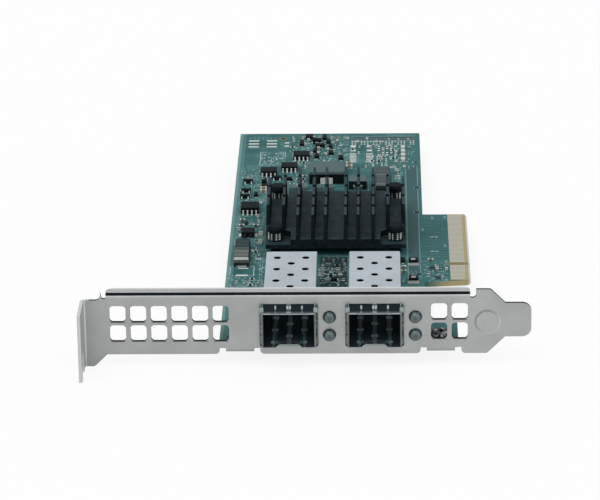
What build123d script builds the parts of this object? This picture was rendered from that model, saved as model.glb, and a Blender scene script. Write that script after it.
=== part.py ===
from build123d import *
import os

# A half-height dual-port network card with a full-height bracket, lying component side up.
# Everything is drawn with X along the bracket, Y back from the bracket's front face and
# Z up from the lower edge of the bracket's body. At the end all pieces are moved together
# so that the origin is the card's datum: the key notch of the edge connector, at its tip,
# in the middle of the board's thickness.

# Circuit board
board_thickness = 1.57
board_underside = 1.26
board_length = 168.80
board_to_bracket = 0.24
card_height = 68.90
tongue_reach = 14.97
front_step = 4.50
rear_step = 12.90
foot_end = 16.50
tongue_slant = 1.20
tip_bevel_length = 0.50
tip_bevel_depth = 0.30
corner_chamfer = 0.80
board_corner_radius = 0.60

# Edge connector, measured from its near side
connector_start = 45.70
connector_width = 52.20
key_start = 11.65
key_width = 1.90
key_depth = 7.00
contact_pitch = 1.00
first_contact = 1.10
contacts_before_key = 11
contact_to_key = 0.55
contacts_after_key = 38
contact_width = 0.70
contact_length = 4.20
contact_from_tip = 1.45
contact_thickness = 0.05

# Bracket sheet
sheet = 0.86
bend_inside = 0.50
bracket_length = 120.02
bracket_width = 18.42
tab_depth = 11.43
tab_top = 15.66
tab_drop = 3.45
drop_flat = 2.60
slot_width = 4.42
slot_from_face = 4.14
slot_depth = 6.60
shoulder_length = 3.20
hook_x = 4.55
hook_z = 17.85
relief_width = 1.10
relief_depth = 0.15
head_corner_rise = 0.50
outline_corner = 1.10
place_tolerance = 0.01
flange_start = 6.00
flange_depth = 4.20
flange_top = 17.55
flange_corner = 2.00
head_length = 14.82
head_gap = 1.60
tongue_width = 9.70
tongue_low = 4.80
tongue_corner = 2.50
tongue_length = 7.00
dimple_radius = 3.30
dimple_line = 0.35
dimple_depth = 0.12
dimple_from_end = 11.72
dimple_z = 9.10

# Mounting ears under the board
ear_width = 7.54
ear_depth = 9.60
ear_bend_inside = 0.20
ear_inset_left = 5.65
ear_inset_right = 4.69
ear_notch = 1.70
ear_notch_rise = 0.35
screw_y = 5.00
screw_radius = 1.50
screw_clearance = 0.02
screw_board_clearance = 0.15
screw_head_radius = 2.75
screw_head_height = 1.70
screw_tip = 0.30
recess_width = 0.70
recess_length = 3.00
recess_depth = 0.90

# Vent holes
vent_width = 4.35
vent_height = 4.60
vent_corner = 1.00
vent_pitch_x = 5.54
vent_pitch_z = 5.56
left_vent_x = 9.09
left_vent_z = 6.12
print_room = 7.00
right_vent_from_indicator = 6.35
right_vent_z = 6.60
right_vent_columns = 2
vent_rows = 2

# Ports
port_from_left = (18.88, 41.92)
cage_width = 14.25
cage_height = 9.80
cage_length = 45.60
cage_proud = 2.40
cage_wall = 0.30
cage_fit = 0.02
cutout_side = 0.78
cutout_above = 1.80
cutout_below = 0.85
cutout_corner = 0.80
cutout_notch = 0.95
cutout_notch_rise = 0.60
cage_hole_radius = 1.00
cage_hole_column = 3.95
cage_hole_pitch = 8.55
cage_hole_first = 6.75
cage_hole_rows = 5
cage_pin_width = 0.70
cage_pin_length = 2.60
cage_pin_hole = 0.50
cage_pin_first = 9.20
cage_pin_pitch = 8.20
cage_pins_per_side = 5
latch_slot_gap = 7.20
latch_slot_width = 0.50
latch_slot_length = 9.00
latch_window = 2.20
latch_window_y = 6.50
base_length = 35.60

# Spring fingers round the cage mouths
collar_sheet = 0.12
collar_front = 0.10
collar_band = 0.90
finger_length = 3.60
low_finger_length = 2.20
finger_clearance = 0.12
finger_gap = 0.50
middle_gap = 1.30
corner_tab_inward = 0.45
corner_tab_outward = 0.60
corner_tab_above = 1.45
finger_columns = 4
finger_rows = 3

# Port connectors inside the cages
connector_body_width = 11.80
connector_body_height = 5.60
connector_body_length = 8.40
connector_slot_width = 9.60
connector_slot_height = 1.30
connector_slot_depth = 6.00
connector_slot_rise = 3.60
connector_contacts = 10
connector_contact_pitch = 0.80
connector_contact_width = 0.30
connector_contact_sheet = 0.15
connector_contact_gap = 0.03

# Indicators beside the ports
indicator_from_port = 10.90
indicator_low = 2.62
indicator_pitch = 5.15
lens_radius = 1.65
lens_proud = 1.60
lens_nose = 0.70
lens_seat = 1.40
lens_hole_clearance = 0.15
housing_width = 4.70
housing_depth = 5.60
housing_above_lens = 2.40
housing_gap = 0.15

# Controller chip, heat sink and its push pins
chip_from_left = 30.80
chip_from_rear = 83.40
substrate_size = 25.00
substrate_thickness = 0.70
chip_cap_size = 22.00
chip_height = 2.20
pad_size = 20.00
pad_thickness = 0.20
sink_width = 40.00
sink_length = 39.60
sink_base = 2.80
fin_height = 7.52
fin_foot = 1.15
fin_tip = 0.75
fin_offsets = (2.85, 6.45, 10.75, 14.95)
cross_cuts = 4
cross_cut_width = 1.90
pocket_depth = 1.60
pocket_corner = 2.00
pocket_past_fin = 0.15
pin_inset_x = 2.80
pin_inset_front = 4.15
pin_inset_rear = 2.25
pin_shaft_radius = 1.40
pin_hole_clearance = 0.20
pin_head_radius = 2.55
pin_head_height = 1.55
pin_head_rise = 2.90
pin_head_chamfer = 0.60
pin_barb_radius = 1.95
pin_barb_length = 2.20
pin_barb_gap = 0.10
spring_wire = 0.22
spring_radius = 2.00
spring_turns = 4.5
spring_end_gap = 0.02

# Parts soldered to the board, placed from its left edge and forward from the bare margin
# along its rear edge
rear_margin = 2.25
eight_lead_places = ((19.50, 20.25), (16.00, 30.55), (9.85, 34.65))
eight_lead_body = (4.90, 3.90, 1.55)
lead_pitch = 1.27
leads_per_side = 4
lead_width = 0.42
lead_sheet = 0.20
lead_reach = 1.05
lead_foot = 0.60
body_lift = 0.12
lead_exit_rise = 0.90
wide_package_place = (5.15, 66.25)
wide_package_body = (5.20, 5.20, 1.95)
wide_lead_reach = 1.30
wide_lead_exit_rise = 1.05

three_lead_places = ((3.85, 42.15), (3.50, 50.25), (3.30, 55.05), (12.40, 39.35))
three_lead_body = (2.90, 1.30, 1.00)
three_lead_pitch = 0.95
three_lead_width = 0.38
three_lead_reach = 0.65
three_lead_foot = 0.30
three_lead_exit_rise = 0.45

big_inductor_place = (27.50, 38.75)
big_inductor_size = (10.45, 9.40, 3.90)
big_inductor_cap = 0.80
big_inductor_window = 4.00
big_inductor_window_depth = 1.60
big_inductor_window_height = 2.60
big_terminal_size = (1.50, 1.20, 1.80)
big_terminal_spread = 2.20

small_inductor_place = (36.90, 45.85)
small_inductor_size = (5.40, 5.00, 2.60)
choke_place = (5.20, 86.05)
choke_size = (3.80, 3.80, 1.60)
small_terminal_length = 0.70
small_terminal_height = 1.00
small_terminal_spread = 1.80

tantalum_places = ((4.10, 107.70), (4.10, 99.75), (44.40, 47.60), (44.40, 39.65))
tantalum_size = (4.30, 7.30, 2.80)
tantalum_tab_width = 3.00
tantalum_tab_sheet = 0.15
tantalum_tab_height = 0.55
tantalum_foot = 1.30

filter_places = ((52.90, 107.90), (52.80, 121.60))
filter_size = (2.60, 2.40, 0.95)
filter_tab_size = (3.20, 2.00, 0.25)

# Chip capacitors and resistors: place and whether their long side runs along Y. Those beside
# the edge connector are placed from its tip and from its near side.
large_capacitors = (
    (8.90, 86.05, True), (8.90, 92.45, True), (8.60, 50.45, False), (8.60, 48.05, False),
    (34.20, 29.25, False), (34.20, 26.45, False), (50.70, 23.45, True), (50.70, 19.55, True),
    (50.70, 16.05, True), (50.70, 12.45, True), (28.60, 122.65, True), (27.00, 115.05, True),
    (31.60, 115.05, True),
)
large_capacitor_size = (1.25, 2.00, 0.90)
power_capacitors = ((17.35, 48.45, True), (20.35, 48.45, True), (25.05, 48.45, True), (28.35, 48.45, True))
power_capacitor_size = (2.10, 3.00, 1.30)
small_capacitors = (
    (20.60, 9.05, True), (21.40, 5.05, True), (24.60, 17.05, True), (24.60, 12.65, True),
    (26.90, 18.25, True), (27.60, 13.85, True), (30.40, 6.05, True), (31.60, 10.65, True),
    (33.60, 4.05, True), (36.60, 7.05, True), (39.60, 4.45, True), (42.60, 7.25, True),
    (44.60, 14.05, True), (46.60, 10.65, True), (48.60, 16.45, True), (48.60, 25.25, True),
    (51.00, 30.05, True), (48.80, 33.25, True), (3.20, 75.05, False), (3.40, 60.85, False),
    (8.20, 61.05, True), (7.60, 72.05, True), (3.10, 79.35, False), (7.30, 79.35, False),
    (27.40, 107.45, True), (30.20, 107.45, True), (33.00, 107.45, True), (28.80, 110.65, False),
    (32.40, 118.85, True), (28.90, 105.05, True), (31.60, 105.05, True), (27.20, 111.90, True),
    (33.40, 110.90, True), (50.00, 113.15, False), (50.10, 116.20, False),
)
edge_capacitors = ((9.30, 7.50, True), (6.70, 7.10, True), (11.10, 14.50, False))
small_capacitor_size = (0.80, 1.60, 0.80)
end_cap_share = 0.25
resistors = (
    (19.60, 2.85, True), (23.20, 2.65, True), (24.80, 2.25, True), (28.60, 3.05, True),
    (21.40, 13.85, True), (23.20, 7.45, False), (25.90, 8.05, False), (29.40, 14.65, True),
    (31.20, 18.05, True), (32.60, 14.85, True), (22.60, 17.75, True), (29.00, 7.05, True),
    (40.80, 11.25, True), (42.40, 11.25, True), (44.00, 7.45, True), (46.40, 4.85, True),
    (49.40, 5.05, True), (52.40, 4.85, True), (8.20, 39.05, True), (12.80, 44.05, True),
    (2.50, 81.85, True), (28.90, 114.20, True), (33.50, 114.60, True),
    (29.60, 118.30, False), (27.20, 118.60, True), (33.20, 122.40, True), (31.30, 110.90, False),
)
edge_resistors = ((7.90, 1.90, True), (11.70, 4.50, True))
resistor_size = (0.80, 1.60, 0.50)
resistor_end_share = 0.22
black_parts = (
    (21.60, 2.05, 2.20, 2.60), (26.40, 2.75, 1.30, 3.60), (19.40, 8.05, 1.20, 3.60),
    (24.00, 5.25, 2.60, 1.70), (27.60, 6.65, 1.20, 2.60), (25.10, 10.25, 2.90, 1.60),
    (23.60, 15.05, 1.10, 2.40), (28.30, 11.35, 1.20, 1.80), (28.50, 17.05, 1.40, 2.20),
    (31.60, 21.45, 1.50, 2.60), (24.20, 20.05, 1.30, 2.40), (15.90, 40.25, 2.40, 1.40),
    (30.60, 122.30, 1.70, 1.60), (49.90, 107.75, 1.30, 2.30), (6.50, 53.60, 1.10, 2.20),
    (8.60, 42.05, 1.50, 1.80), (8.90, 46.15, 1.90, 1.60),
)
black_part_height = 1.00

# Places worked out from the sizes above
sin45 = 0.5**0.5
edge_tip_x = bracket_length - tongue_reach
head_start = bracket_length - head_length
flange_end = head_start - head_gap
dimple_x = bracket_length - dimple_from_end
board_top = board_underside + board_thickness
board_left = edge_tip_x - card_height
board_front = sheet + board_to_bracket
board_rear = board_front + board_length
parts_rear = board_rear - rear_margin
front_right = edge_tip_x - front_step
rear_right = edge_tip_x - rear_step
connector_end = connector_start + connector_width
key_centre = connector_start + key_start + key_width / 2
bend_outside = bend_inside + sheet
ear_low = board_underside - sheet
ear_centres = (board_left + ear_inset_left, front_right - ear_inset_right)
ear_bend_outside = ear_bend_inside + sheet
cage_low = board_top
cage_top = cage_low + cage_height
cage_front = -cage_proud
cage_rear = cage_front + cage_length
port_centres = tuple(board_left + place for place in port_from_left)
indicator_centres = tuple(x + indicator_from_port for x in port_centres)
port_left_edge = port_centres[0] - cage_width / 2 - cutout_side
vent_room = port_left_edge - print_room - vent_width / 2 - left_vent_x
left_vent_columns = int(vent_room / vent_pitch_x) + 1
right_vent_x = indicator_centres[-1] + right_vent_from_indicator
lens_levels = (board_top + indicator_low, board_top + indicator_low + indicator_pitch)
chip_x = board_left + chip_from_left
chip_y = parts_rear - chip_from_rear
chip_top = board_top + chip_height
sink_front = chip_y - sink_length / 2
sink_rear = chip_y + sink_length / 2
sink_low = chip_top + pad_thickness
sink_floor = sink_low + sink_base
sink_top = sink_floor + fin_height
pocket_floor = sink_floor - pocket_depth
row_pitch = (sink_length + cross_cut_width) / (cross_cuts + 1)
pocket_length = row_pitch - cross_cut_width / 2
pocket_width = sink_width / 2 - (fin_offsets[2] + fin_offsets[3]) / 2
rear_pocket_length = row_pitch - cross_cut_width
rear_pocket_width = sink_width / 2 - fin_offsets[3] + fin_foot / 2 + pocket_past_fin
push_pin_places = tuple(
    (chip_x + side * (sink_width / 2 - pin_inset_x), y)
    for side in (-1, 1)
    for y in (sink_front + pin_inset_front, sink_rear - pin_inset_rear)
)
pin_head_low = pocket_floor + pin_head_rise
datum = (edge_tip_x, key_centre, board_underside + board_thickness / 2)


def block(x0, x1, y0, y1, z0, z1):
    """A box given by its two limits along each axis."""
    centre = ((x0 + x1) / 2, (y0 + y1) / 2, (z0 + z1) / 2)
    return Pos(*centre) * Box(abs(x1 - x0), abs(y1 - y0), abs(z1 - z0))


def on_board(place, size, lift=0.0):
    """A box on the board's top face, its centre given from the left edge and the rear margin."""
    x, y = board_left + place[0], parts_rear - place[1]
    low = board_top + lift
    return block(x - size[0] / 2, x + size[0] / 2, y - size[1] / 2, y + size[1] / 2, low, low + size[2])


def upright(radius, x, y, z0, z1):
    """A vertical round bar between two levels."""
    return Pos(x, y, (z0 + z1) / 2) * Cylinder(radius, z1 - z0)


def through_y(sketch, y0, y1):
    """A face drawn in X and Z, extruded from y0 back to y1."""
    return extrude(Plane((0, y1, 0), x_dir=(1, 0, 0), z_dir=(0, -1, 0)) * sketch, amount=y1 - y0)


def along_x(outline, x0, x1):
    """A closed outline in Y and Z, extruded from x0 to x1."""
    face = make_face(Polyline(*outline, close=True))
    return extrude(Plane((x0, 0, 0), x_dir=(0, 1, 0), z_dir=(1, 0, 0)) * face, amount=x1 - x0)


def fused(pieces):
    """Several touching pieces joined into one solid."""
    pieces = list(pieces)
    return pieces[0].fuse(*pieces[1:]).clean() if len(pieces) > 1 else pieces[0]


def vent_places():
    """Centres of all vent holes in the bracket."""
    grids = ((left_vent_x, left_vent_z, left_vent_columns), (right_vent_x, right_vent_z, right_vent_columns))
    return [
        (x + column * vent_pitch_x, z + row * vent_pitch_z)
        for x, z, columns in grids
        for column in range(columns)
        for row in range(vent_rows)
    ]


def bracket_outline():
    """The flat front of the bracket, from its fold beside the tab to the end of the tongue."""
    tongue_high = tongue_low + tongue_width
    neck_x = bracket_length - tongue_length
    fold_line = flange_top - bend_outside
    notch_middle = (head_start + flange_end) / 2
    hook_round = hook_x - shoulder_length
    hook_mid = (shoulder_length + hook_round * sin45, tab_top + hook_round * (1 - sin45))
    lower = Polyline(
        (bend_inside, -tab_drop),
        (drop_flat, -tab_drop),
        (drop_flat + tab_drop, 0),
        (neck_x - tongue_low, 0),
        (neck_x, tongue_low),
        (bracket_length, tongue_low),
        (bracket_length, tongue_high),
        (neck_x, tongue_high),
        (neck_x - (bracket_width - tongue_high), bracket_width),
        (head_start, bracket_width),
        (head_start, fold_line + head_corner_rise),
    )
    right_relief = ThreePointArc(
        (head_start, fold_line + head_corner_rise),
        (notch_middle, fold_line - relief_depth),
        (flange_end, fold_line),
    )
    upper = Line((flange_end, fold_line), (flange_start, fold_line))
    relief_left = flange_start - relief_width
    left_relief = ThreePointArc(
        (flange_start, fold_line),
        (flange_start - relief_width / 2, fold_line - relief_depth),
        (relief_left, fold_line),
    )
    hook = Polyline((relief_left, fold_line), (hook_x, hook_z), (hook_x, tab_top + hook_round))
    hollow = ThreePointArc((hook_x, tab_top + hook_round), hook_mid, (shoulder_length, tab_top))
    left = Polyline((shoulder_length, tab_top), (bend_inside, tab_top), (bend_inside, -tab_drop))
    return make_face(lower + right_relief + upper + left_relief + hook + hollow + left)


def folded_corner(x0, x1, y0, z0, inside, above):
    """The rounded fold between the front sheet and a part bent back from it, from x0 to x1."""
    outside = inside + sheet
    plane = Plane((x0, y0 + outside, z0), x_dir=(0, 1, 0), z_dir=(1, 0, 0))
    ring = extrude(plane * (Circle(outside) - Circle(inside)), amount=x1 - x0)
    low, high = (z0, z0 + outside) if above else (z0 - outside, z0)
    return ring & block(x0, x1, y0, y0 + outside, low, high)


def ear(centre):
    """A mounting ear, bent back from the lower edge to lie under the board."""
    left, right = centre - ear_width / 2, centre + ear_width / 2
    flat = block(left, right, ear_bend_outside, ear_depth, ear_low, board_underside)
    fold = folded_corner(left, right, 0, ear_low + ear_bend_outside, ear_bend_inside, False)
    return fused([flat, fold])


def tab_and_fold():
    """The screw tab, bent forward from the left end, with its open screw slot."""
    flat = block(-sheet, 0, -tab_depth, -bend_inside, -tab_drop, tab_top)
    slot_near = -slot_from_face
    slot_far = slot_near - slot_width
    slot_round = -tab_drop + slot_depth - slot_width / 2
    slot = block(-2 * sheet, sheet, slot_far, slot_near, -2 * tab_drop, slot_round)
    slot_end = Rot(0, 90, 0) * Cylinder(slot_width / 2, 4 * sheet)
    flat -= slot + Pos(0, (slot_near + slot_far) / 2, slot_round) * slot_end
    fold_plane = Plane((bend_inside, -bend_inside, -tab_drop))
    ring = extrude(fold_plane * (Circle(bend_outside) - Circle(bend_inside)), amount=tab_top + tab_drop)
    ring &= block(-sheet, bend_inside, -bend_inside, sheet, -tab_drop, tab_top)
    return fused([flat, ring])


def top_flange():
    """The stiffening flange, bent back along the bracket's upper edge."""
    flat = block(flange_start, flange_end, bend_outside, flange_depth, flange_top - sheet, flange_top)
    rear_corners = [e for e in flat.edges().filter_by(Axis.Z) if e.center().Y > flange_depth - sheet / 2]
    flat = fillet(rear_corners, min(flange_corner, (flange_depth - bend_outside) * 0.9))
    fold = folded_corner(flange_start, flange_end, 0, flange_top - bend_outside, bend_inside, True)
    return fused([flat, fold])


def port_cutout(x):
    """The opening round one cage, with a small half-round notch above its middle."""
    width = cage_width + 2 * cutout_side
    height = cage_height + cutout_above + cutout_below
    middle = cage_low - cutout_below + height / 2
    opening = Pos(x, middle) * RectangleRounded(width, height, cutout_corner)
    notch = Pos(x, cage_top + cutout_above + cutout_notch_rise - cutout_notch) * Circle(cutout_notch)
    return opening + notch


def is_rounded(place):
    """Whether a place on the front sheet is a rounded corner: beside the ears, at the drop or the head."""
    tongue_high = tongue_low + tongue_width
    neck_x = bracket_length - tongue_length
    corners = [(centre + side * (ear_width / 2 + ear_notch), 0) for centre in ear_centres for side in (-1, 1)]
    corners += [(drop_flat, -tab_drop), (neck_x - tongue_low, 0)]
    corners += [(neck_x - (bracket_width - tongue_high), bracket_width)]
    return any(abs(place.X - x) + abs(place.Z - z) < place_tolerance for x, z in corners)


def bracket():
    """The one-piece sheet bracket."""
    front = through_y(bracket_outline(), 0, sheet)
    tongue_edges = [e for e in front.edges().filter_by(Axis.Y) if e.center().X > bracket_length - sheet / 2]
    front = fillet(tongue_edges, tongue_corner)
    cuts = [Pos(x, z) * RectangleRounded(vent_width, vent_height, vent_corner) for x, z in vent_places()]
    cuts += [port_cutout(x) for x in port_centres]
    hole = lens_radius + lens_hole_clearance
    cuts += [Pos(x, z) * Circle(hole) for x in indicator_centres for z in lens_levels]
    ear_rise = ear_low + ear_bend_outside
    notch_height = ear_rise + ear_notch_rise
    for centre in ear_centres:
        cuts += [Pos(centre, ear_rise / 2) * Rectangle(ear_width, ear_rise)]
        for side in (-1, 1):
            middle = centre + side * (ear_width + ear_notch) / 2
            cuts += [Pos(middle, notch_height / 2) * Rectangle(ear_notch, notch_height)]
    for cut in cuts:
        front -= through_y(cut, -sheet, 2 * sheet)
    front = fillet([e for e in front.edges().filter_by(Axis.Y) if is_rounded(e.center())], outline_corner)
    ring = Pos(dimple_x, dimple_z) * (Circle(dimple_radius) - Circle(dimple_radius - dimple_line))
    front -= through_y(ring, 0, dimple_depth)
    whole = fused([front, tab_and_fold(), top_flange()] + [ear(centre) for centre in ear_centres])
    for centre in ear_centres:
        whole -= upright(screw_radius + screw_clearance, centre, screw_y, ear_low - sheet, board_top)
    return whole


def cage_pin_places(x):
    """Board positions of one cage's solder pins, down both of its side walls."""
    reach = (cage_width - cage_wall) / 2
    return [
        (x + side * reach, cage_front + cage_pin_first + i * cage_pin_pitch)
        for side in (-1, 1)
        for i in range(cage_pins_per_side)
    ]


def circuit_board():
    """The board with its edge connector, key notch, bevelled tip and holes."""
    outline = Polyline(
        (board_left, board_front),
        (front_right, board_front),
        (front_right, foot_end),
        (rear_right, foot_end),
        (rear_right, connector_start - tongue_slant),
        (edge_tip_x - corner_chamfer, connector_start),
        (edge_tip_x, connector_start + corner_chamfer),
        (edge_tip_x, connector_end - corner_chamfer),
        (edge_tip_x - corner_chamfer, connector_end),
        (rear_right, connector_end),
        (rear_right, board_rear),
        (board_left, board_rear),
        close=True,
    )
    board = extrude(Plane((0, 0, board_underside)) * make_face(outline), amount=board_thickness)
    outer = [
        e
        for e in board.edges().filter_by(Axis.Z)
        if e.center().Y > board_rear - sheet or (e.center().Y < foot_end + sheet)
    ]
    board = fillet(outer, board_corner_radius)
    key_low, key_high = connector_start + key_start, connector_start + key_start + key_width
    key_end = edge_tip_x - key_depth + key_width / 2
    notch = block(key_end, edge_tip_x + key_width, key_low, key_high, 0, 2 * board_top)
    notch += upright(key_width / 2, key_end, key_centre, 0, 2 * board_top)
    board -= notch
    for face, away in ((board_top, 1), (board_underside, -1)):
        bevel = Polyline(
            (edge_tip_x - tip_bevel_length, face),
            (edge_tip_x + tip_bevel_length, face - away * 2 * tip_bevel_depth),
            (edge_tip_x + tip_bevel_length, face + away * tip_bevel_depth),
            (edge_tip_x - tip_bevel_length, face + away * tip_bevel_depth),
            close=True,
        )
        board -= through_y(make_face(bevel), connector_start - sheet, connector_end + sheet)
    holes = [upright(screw_radius + screw_board_clearance, x, screw_y, 0, 2 * board_top) for x in ear_centres]
    pin_hole = pin_shaft_radius + pin_hole_clearance
    holes += [upright(pin_hole, x, y, 0, 2 * board_top) for x, y in push_pin_places]
    cage_pins = [place for x in port_centres for place in cage_pin_places(x)]
    holes += [upright(cage_pin_hole, px, py, 0, 2 * board_top) for px, py in cage_pins]
    return board.cut(*holes)


def edge_contacts():
    """The gold contacts on both faces of the edge connector."""
    starts = [first_contact + i * contact_pitch for i in range(contacts_before_key)]
    past_key = key_start + key_width + contact_to_key
    starts += [past_key + i * contact_pitch for i in range(contacts_after_key)]
    x1 = edge_tip_x - contact_from_tip
    pads = []
    for start in starts:
        y0 = connector_start + start - contact_width / 2
        for low in (board_top, board_underside - contact_thickness):
            pads.append(block(x1 - contact_length, x1, y0, y0 + contact_width, low, low + contact_thickness))
    return pads


def cage_shell(x):
    """The folded cage: roof, sides and back wall, with vent holes and solder pins."""
    left, right = x - cage_width / 2, x + cage_width / 2
    shell = block(left, right, cage_front, cage_rear, cage_low, cage_top)
    upper = [e for e in shell.edges().filter_by(Axis.Y) if e.center().Z > cage_top - cage_wall]
    shell = fillet(upper, cage_wall * 1.5)
    inside = block(
        left + cage_wall,
        right - cage_wall,
        cage_front - cage_wall,
        cage_rear - cage_wall,
        cage_low - cage_wall,
        cage_top - cage_wall,
    )
    shell -= inside
    hole_places = []
    for row in range(cage_hole_rows):
        y = cage_front + cage_hole_first + row * cage_hole_pitch
        hole_places += [(x + side * cage_hole_column, y) for side in (-1, 1)]
        if row < cage_hole_rows - 1:
            hole_places.append((x, y + cage_hole_pitch / 2))
    low = cage_top - 2 * cage_wall
    shell = shell.cut(*[upright(cage_hole_radius, hx, hy, low, 2 * cage_top) for hx, hy in hole_places])
    pins = [
        block(
            px - cage_wall / 2,
            px + cage_wall / 2,
            py - cage_pin_width / 2,
            py + cage_pin_width / 2,
            cage_low - cage_pin_length,
            cage_low + cage_wall,
        )
        for px, py in cage_pin_places(x)
    ]
    return fused([shell] + pins)


def cage_base(x):
    """The cage's floor, with the slots and window of its latch tongue."""
    half = cage_width / 2 - cage_wall - cage_fit
    plate = block(x - half, x + half, cage_front, cage_front + base_length, cage_low, cage_low + cage_wall)
    for side in (-1, 1):
        middle = x + side * latch_slot_gap / 2
        plate -= block(
            middle - latch_slot_width / 2,
            middle + latch_slot_width / 2,
            cage_front - cage_wall,
            cage_front + latch_slot_length,
            cage_low - cage_wall,
            cage_low + 2 * cage_wall,
        )
    window = Pos(x, cage_front + latch_window_y) * RegularPolygon(latch_window / 2, 3, rotation=90)
    plate -= extrude(Plane((0, 0, cage_low - cage_wall)) * window, amount=3 * cage_wall)
    return plate


def finger(room, length):
    """Section of one sprung finger: along the cage, and out towards the edge of the opening."""
    rise = room - finger_clearance
    start = cage_front + collar_front + collar_band / 2
    end = cage_front + collar_front + collar_band + length
    middle = (start + end) / 2
    outer = ThreePointArc((start, 0), (middle, rise), (end, 0))
    inner = ThreePointArc((end - collar_sheet, 0), (middle, rise - collar_sheet), (start + collar_sheet, 0))
    far_end = Line((end, 0), (end - collar_sheet, 0))
    near_end = Line((start + collar_sheet, 0), (start, 0))
    return make_face(outer + far_end + inner + near_end)


def finger_row(across, count, room, length, middle):
    """A row of fingers lying on the XY plane, side by side along X, with a gap of its own in the middle."""
    pitch = across / count
    section = finger(room, length)
    row = []
    for i in range(count):
        first = -across / 2 + i * pitch + (middle if 2 * i == count else finger_gap) / 2
        last = -across / 2 + (i + 1) * pitch - (middle if 2 * i + 2 == count else finger_gap) / 2
        plane = Plane((first, 0, 0), x_dir=(0, 1, 0), z_dir=(1, 0, 0))
        row.append(extrude(plane * section, amount=last - first))
    return row


def cage_springs(x):
    """The collar of sprung fingers that closes the gap between cage and bracket."""
    across = cage_width + 2 * cage_fit
    tall = cage_height + 2 * cage_fit
    y0 = cage_front + collar_front
    middle = (cage_low + cage_top) / 2
    centre = Pos(x, y0 + collar_band / 2, middle)
    band = centre * Box(across + 2 * collar_sheet, collar_band, tall + 2 * collar_sheet)
    band -= centre * Box(across, 2 * collar_band, tall)
    sides = (
        (0, across, tall, finger_columns, cutout_above, finger_length, middle_gap),
        (180, across, tall, finger_columns, cutout_below, low_finger_length, finger_gap),
        (90, tall, across, finger_rows, cutout_side, finger_length, finger_gap),
        (-90, tall, across, finger_rows, cutout_side, finger_length, finger_gap),
    )
    fingers = []
    for turn, wide, high, count, room, length, gap in sides:
        place = Pos(x, 0, middle) * Rot(0, turn, 0) * Pos(0, 0, high / 2)
        fingers += [place * piece for piece in finger_row(wide, count, room, length, gap)]
    side_x = across / 2
    corner_tabs = [
        block(
            x + side * (side_x - corner_tab_inward),
            x + side * (side_x + corner_tab_outward),
            y0 + collar_band / 2,
            y0 + collar_band / 2 + collar_sheet,
            middle + tall / 2,
            middle + tall / 2 + corner_tab_above,
        )
        for side in (-1, 1)
    ]
    return fused([band] + fingers + corner_tabs)


def port_connector(x):
    """The moulded connector at the back of a cage, with its slot for the module's card edge."""
    y1 = cage_rear - cage_wall - cage_fit
    y0 = y1 - connector_body_length
    half = connector_body_width / 2
    body = block(x - half, x + half, y0, y1, board_top, board_top + connector_body_height)
    slot_low = board_top + connector_slot_rise - connector_slot_height / 2
    slot_half = connector_slot_width / 2
    slot_high = slot_low + connector_slot_height
    slot_end = y0 + connector_slot_depth
    return body - block(x - slot_half, x + slot_half, y0 - slot_half, slot_end, slot_low, slot_high)


def port_contacts(x):
    """The two rows of contacts inside the connector's slot."""
    y1 = cage_rear - cage_wall - cage_fit
    y0 = y1 - connector_body_length
    middle = board_top + connector_slot_rise
    half_slot = connector_slot_height / 2
    contacts = []
    for i in range(connector_contacts):
        centre = x + (i - (connector_contacts - 1) / 2) * connector_contact_pitch
        for side in (-1, 1):
            outer = middle + side * (half_slot - connector_contact_gap)
            inner = outer - side * connector_contact_sheet
            half = connector_contact_width / 2
            y_back = y0 + connector_slot_depth - connector_contact_gap
            contacts.append(block(centre - half, centre + half, y0 + cage_wall, y_back, inner, outer))
    return contacts


def indicator_housing(x):
    """The black block behind the bracket that carries one port's two lenses."""
    y0 = sheet + housing_gap
    half = housing_width / 2
    top = lens_levels[-1] + housing_above_lens
    housing = block(x - half, x + half, y0, y0 + housing_depth, board_top, top)
    for z in lens_levels:
        seat = through_y(Pos(x, z) * Circle(lens_radius + cage_fit), y0 - lens_seat, y0 + lens_seat)
        housing -= seat
    return housing


def indicator_lenses():
    """The four round-nosed lenses that stand out through the bracket."""
    back = sheet + housing_gap + lens_seat
    shoulder = -lens_proud + lens_radius * lens_nose
    outline = Polyline((0, shoulder), (lens_radius, shoulder), (lens_radius, back), (0, back), close=True)
    rod = revolve(make_face(outline), Axis.Y)
    nose = Pos(0, shoulder, 0) * scale(Sphere(lens_radius), (1, lens_nose, 1))
    front_half = Pos(0, shoulder - lens_radius / 2, 0) * Box(4 * lens_radius, lens_radius, 4 * lens_radius)
    lens = fused([rod, nose & front_half])
    return [Pos(x, 0, z) * lens for x in indicator_centres for z in lens_levels]


def bracket_screws():
    """The two screws that hold the board down on the bracket's ears."""
    screws = []
    for x in ear_centres:
        shank = upright(screw_radius, x, screw_y, ear_low - screw_tip, board_top)
        head = upright(screw_head_radius, x, screw_y, board_top, board_top + screw_head_height)
        rim = head.edges().filter_by(GeomType.CIRCLE).sort_by(Axis.Z)[-1]
        head = fillet(rim, screw_head_height * 0.4)
        low = board_top + screw_head_height - recess_depth
        across, along = recess_width / 2, recess_length / 2
        for w, d in ((across, along), (along, across)):
            head -= block(x - w, x + w, screw_y - d, screw_y + d, low, low + 2 * recess_depth)
        screws.append(fused([shank, head]))
    return screws


def controller_chip():
    """The controller's package: a thin substrate with a smaller moulded cap."""
    cap_low = board_top + substrate_thickness
    half, cap = substrate_size / 2, chip_cap_size / 2
    substrate = block(chip_x - half, chip_x + half, chip_y - half, chip_y + half, board_top, cap_low)
    moulding = block(chip_x - cap, chip_x + cap, chip_y - cap, chip_y + cap, cap_low, chip_top)
    return fused([substrate, moulding])


def thermal_pad():
    """The soft pad that carries the chip's heat into the heat sink."""
    half = pad_size / 2
    return block(chip_x - half, chip_x + half, chip_y - half, chip_y + half, chip_top, sink_low)


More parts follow.
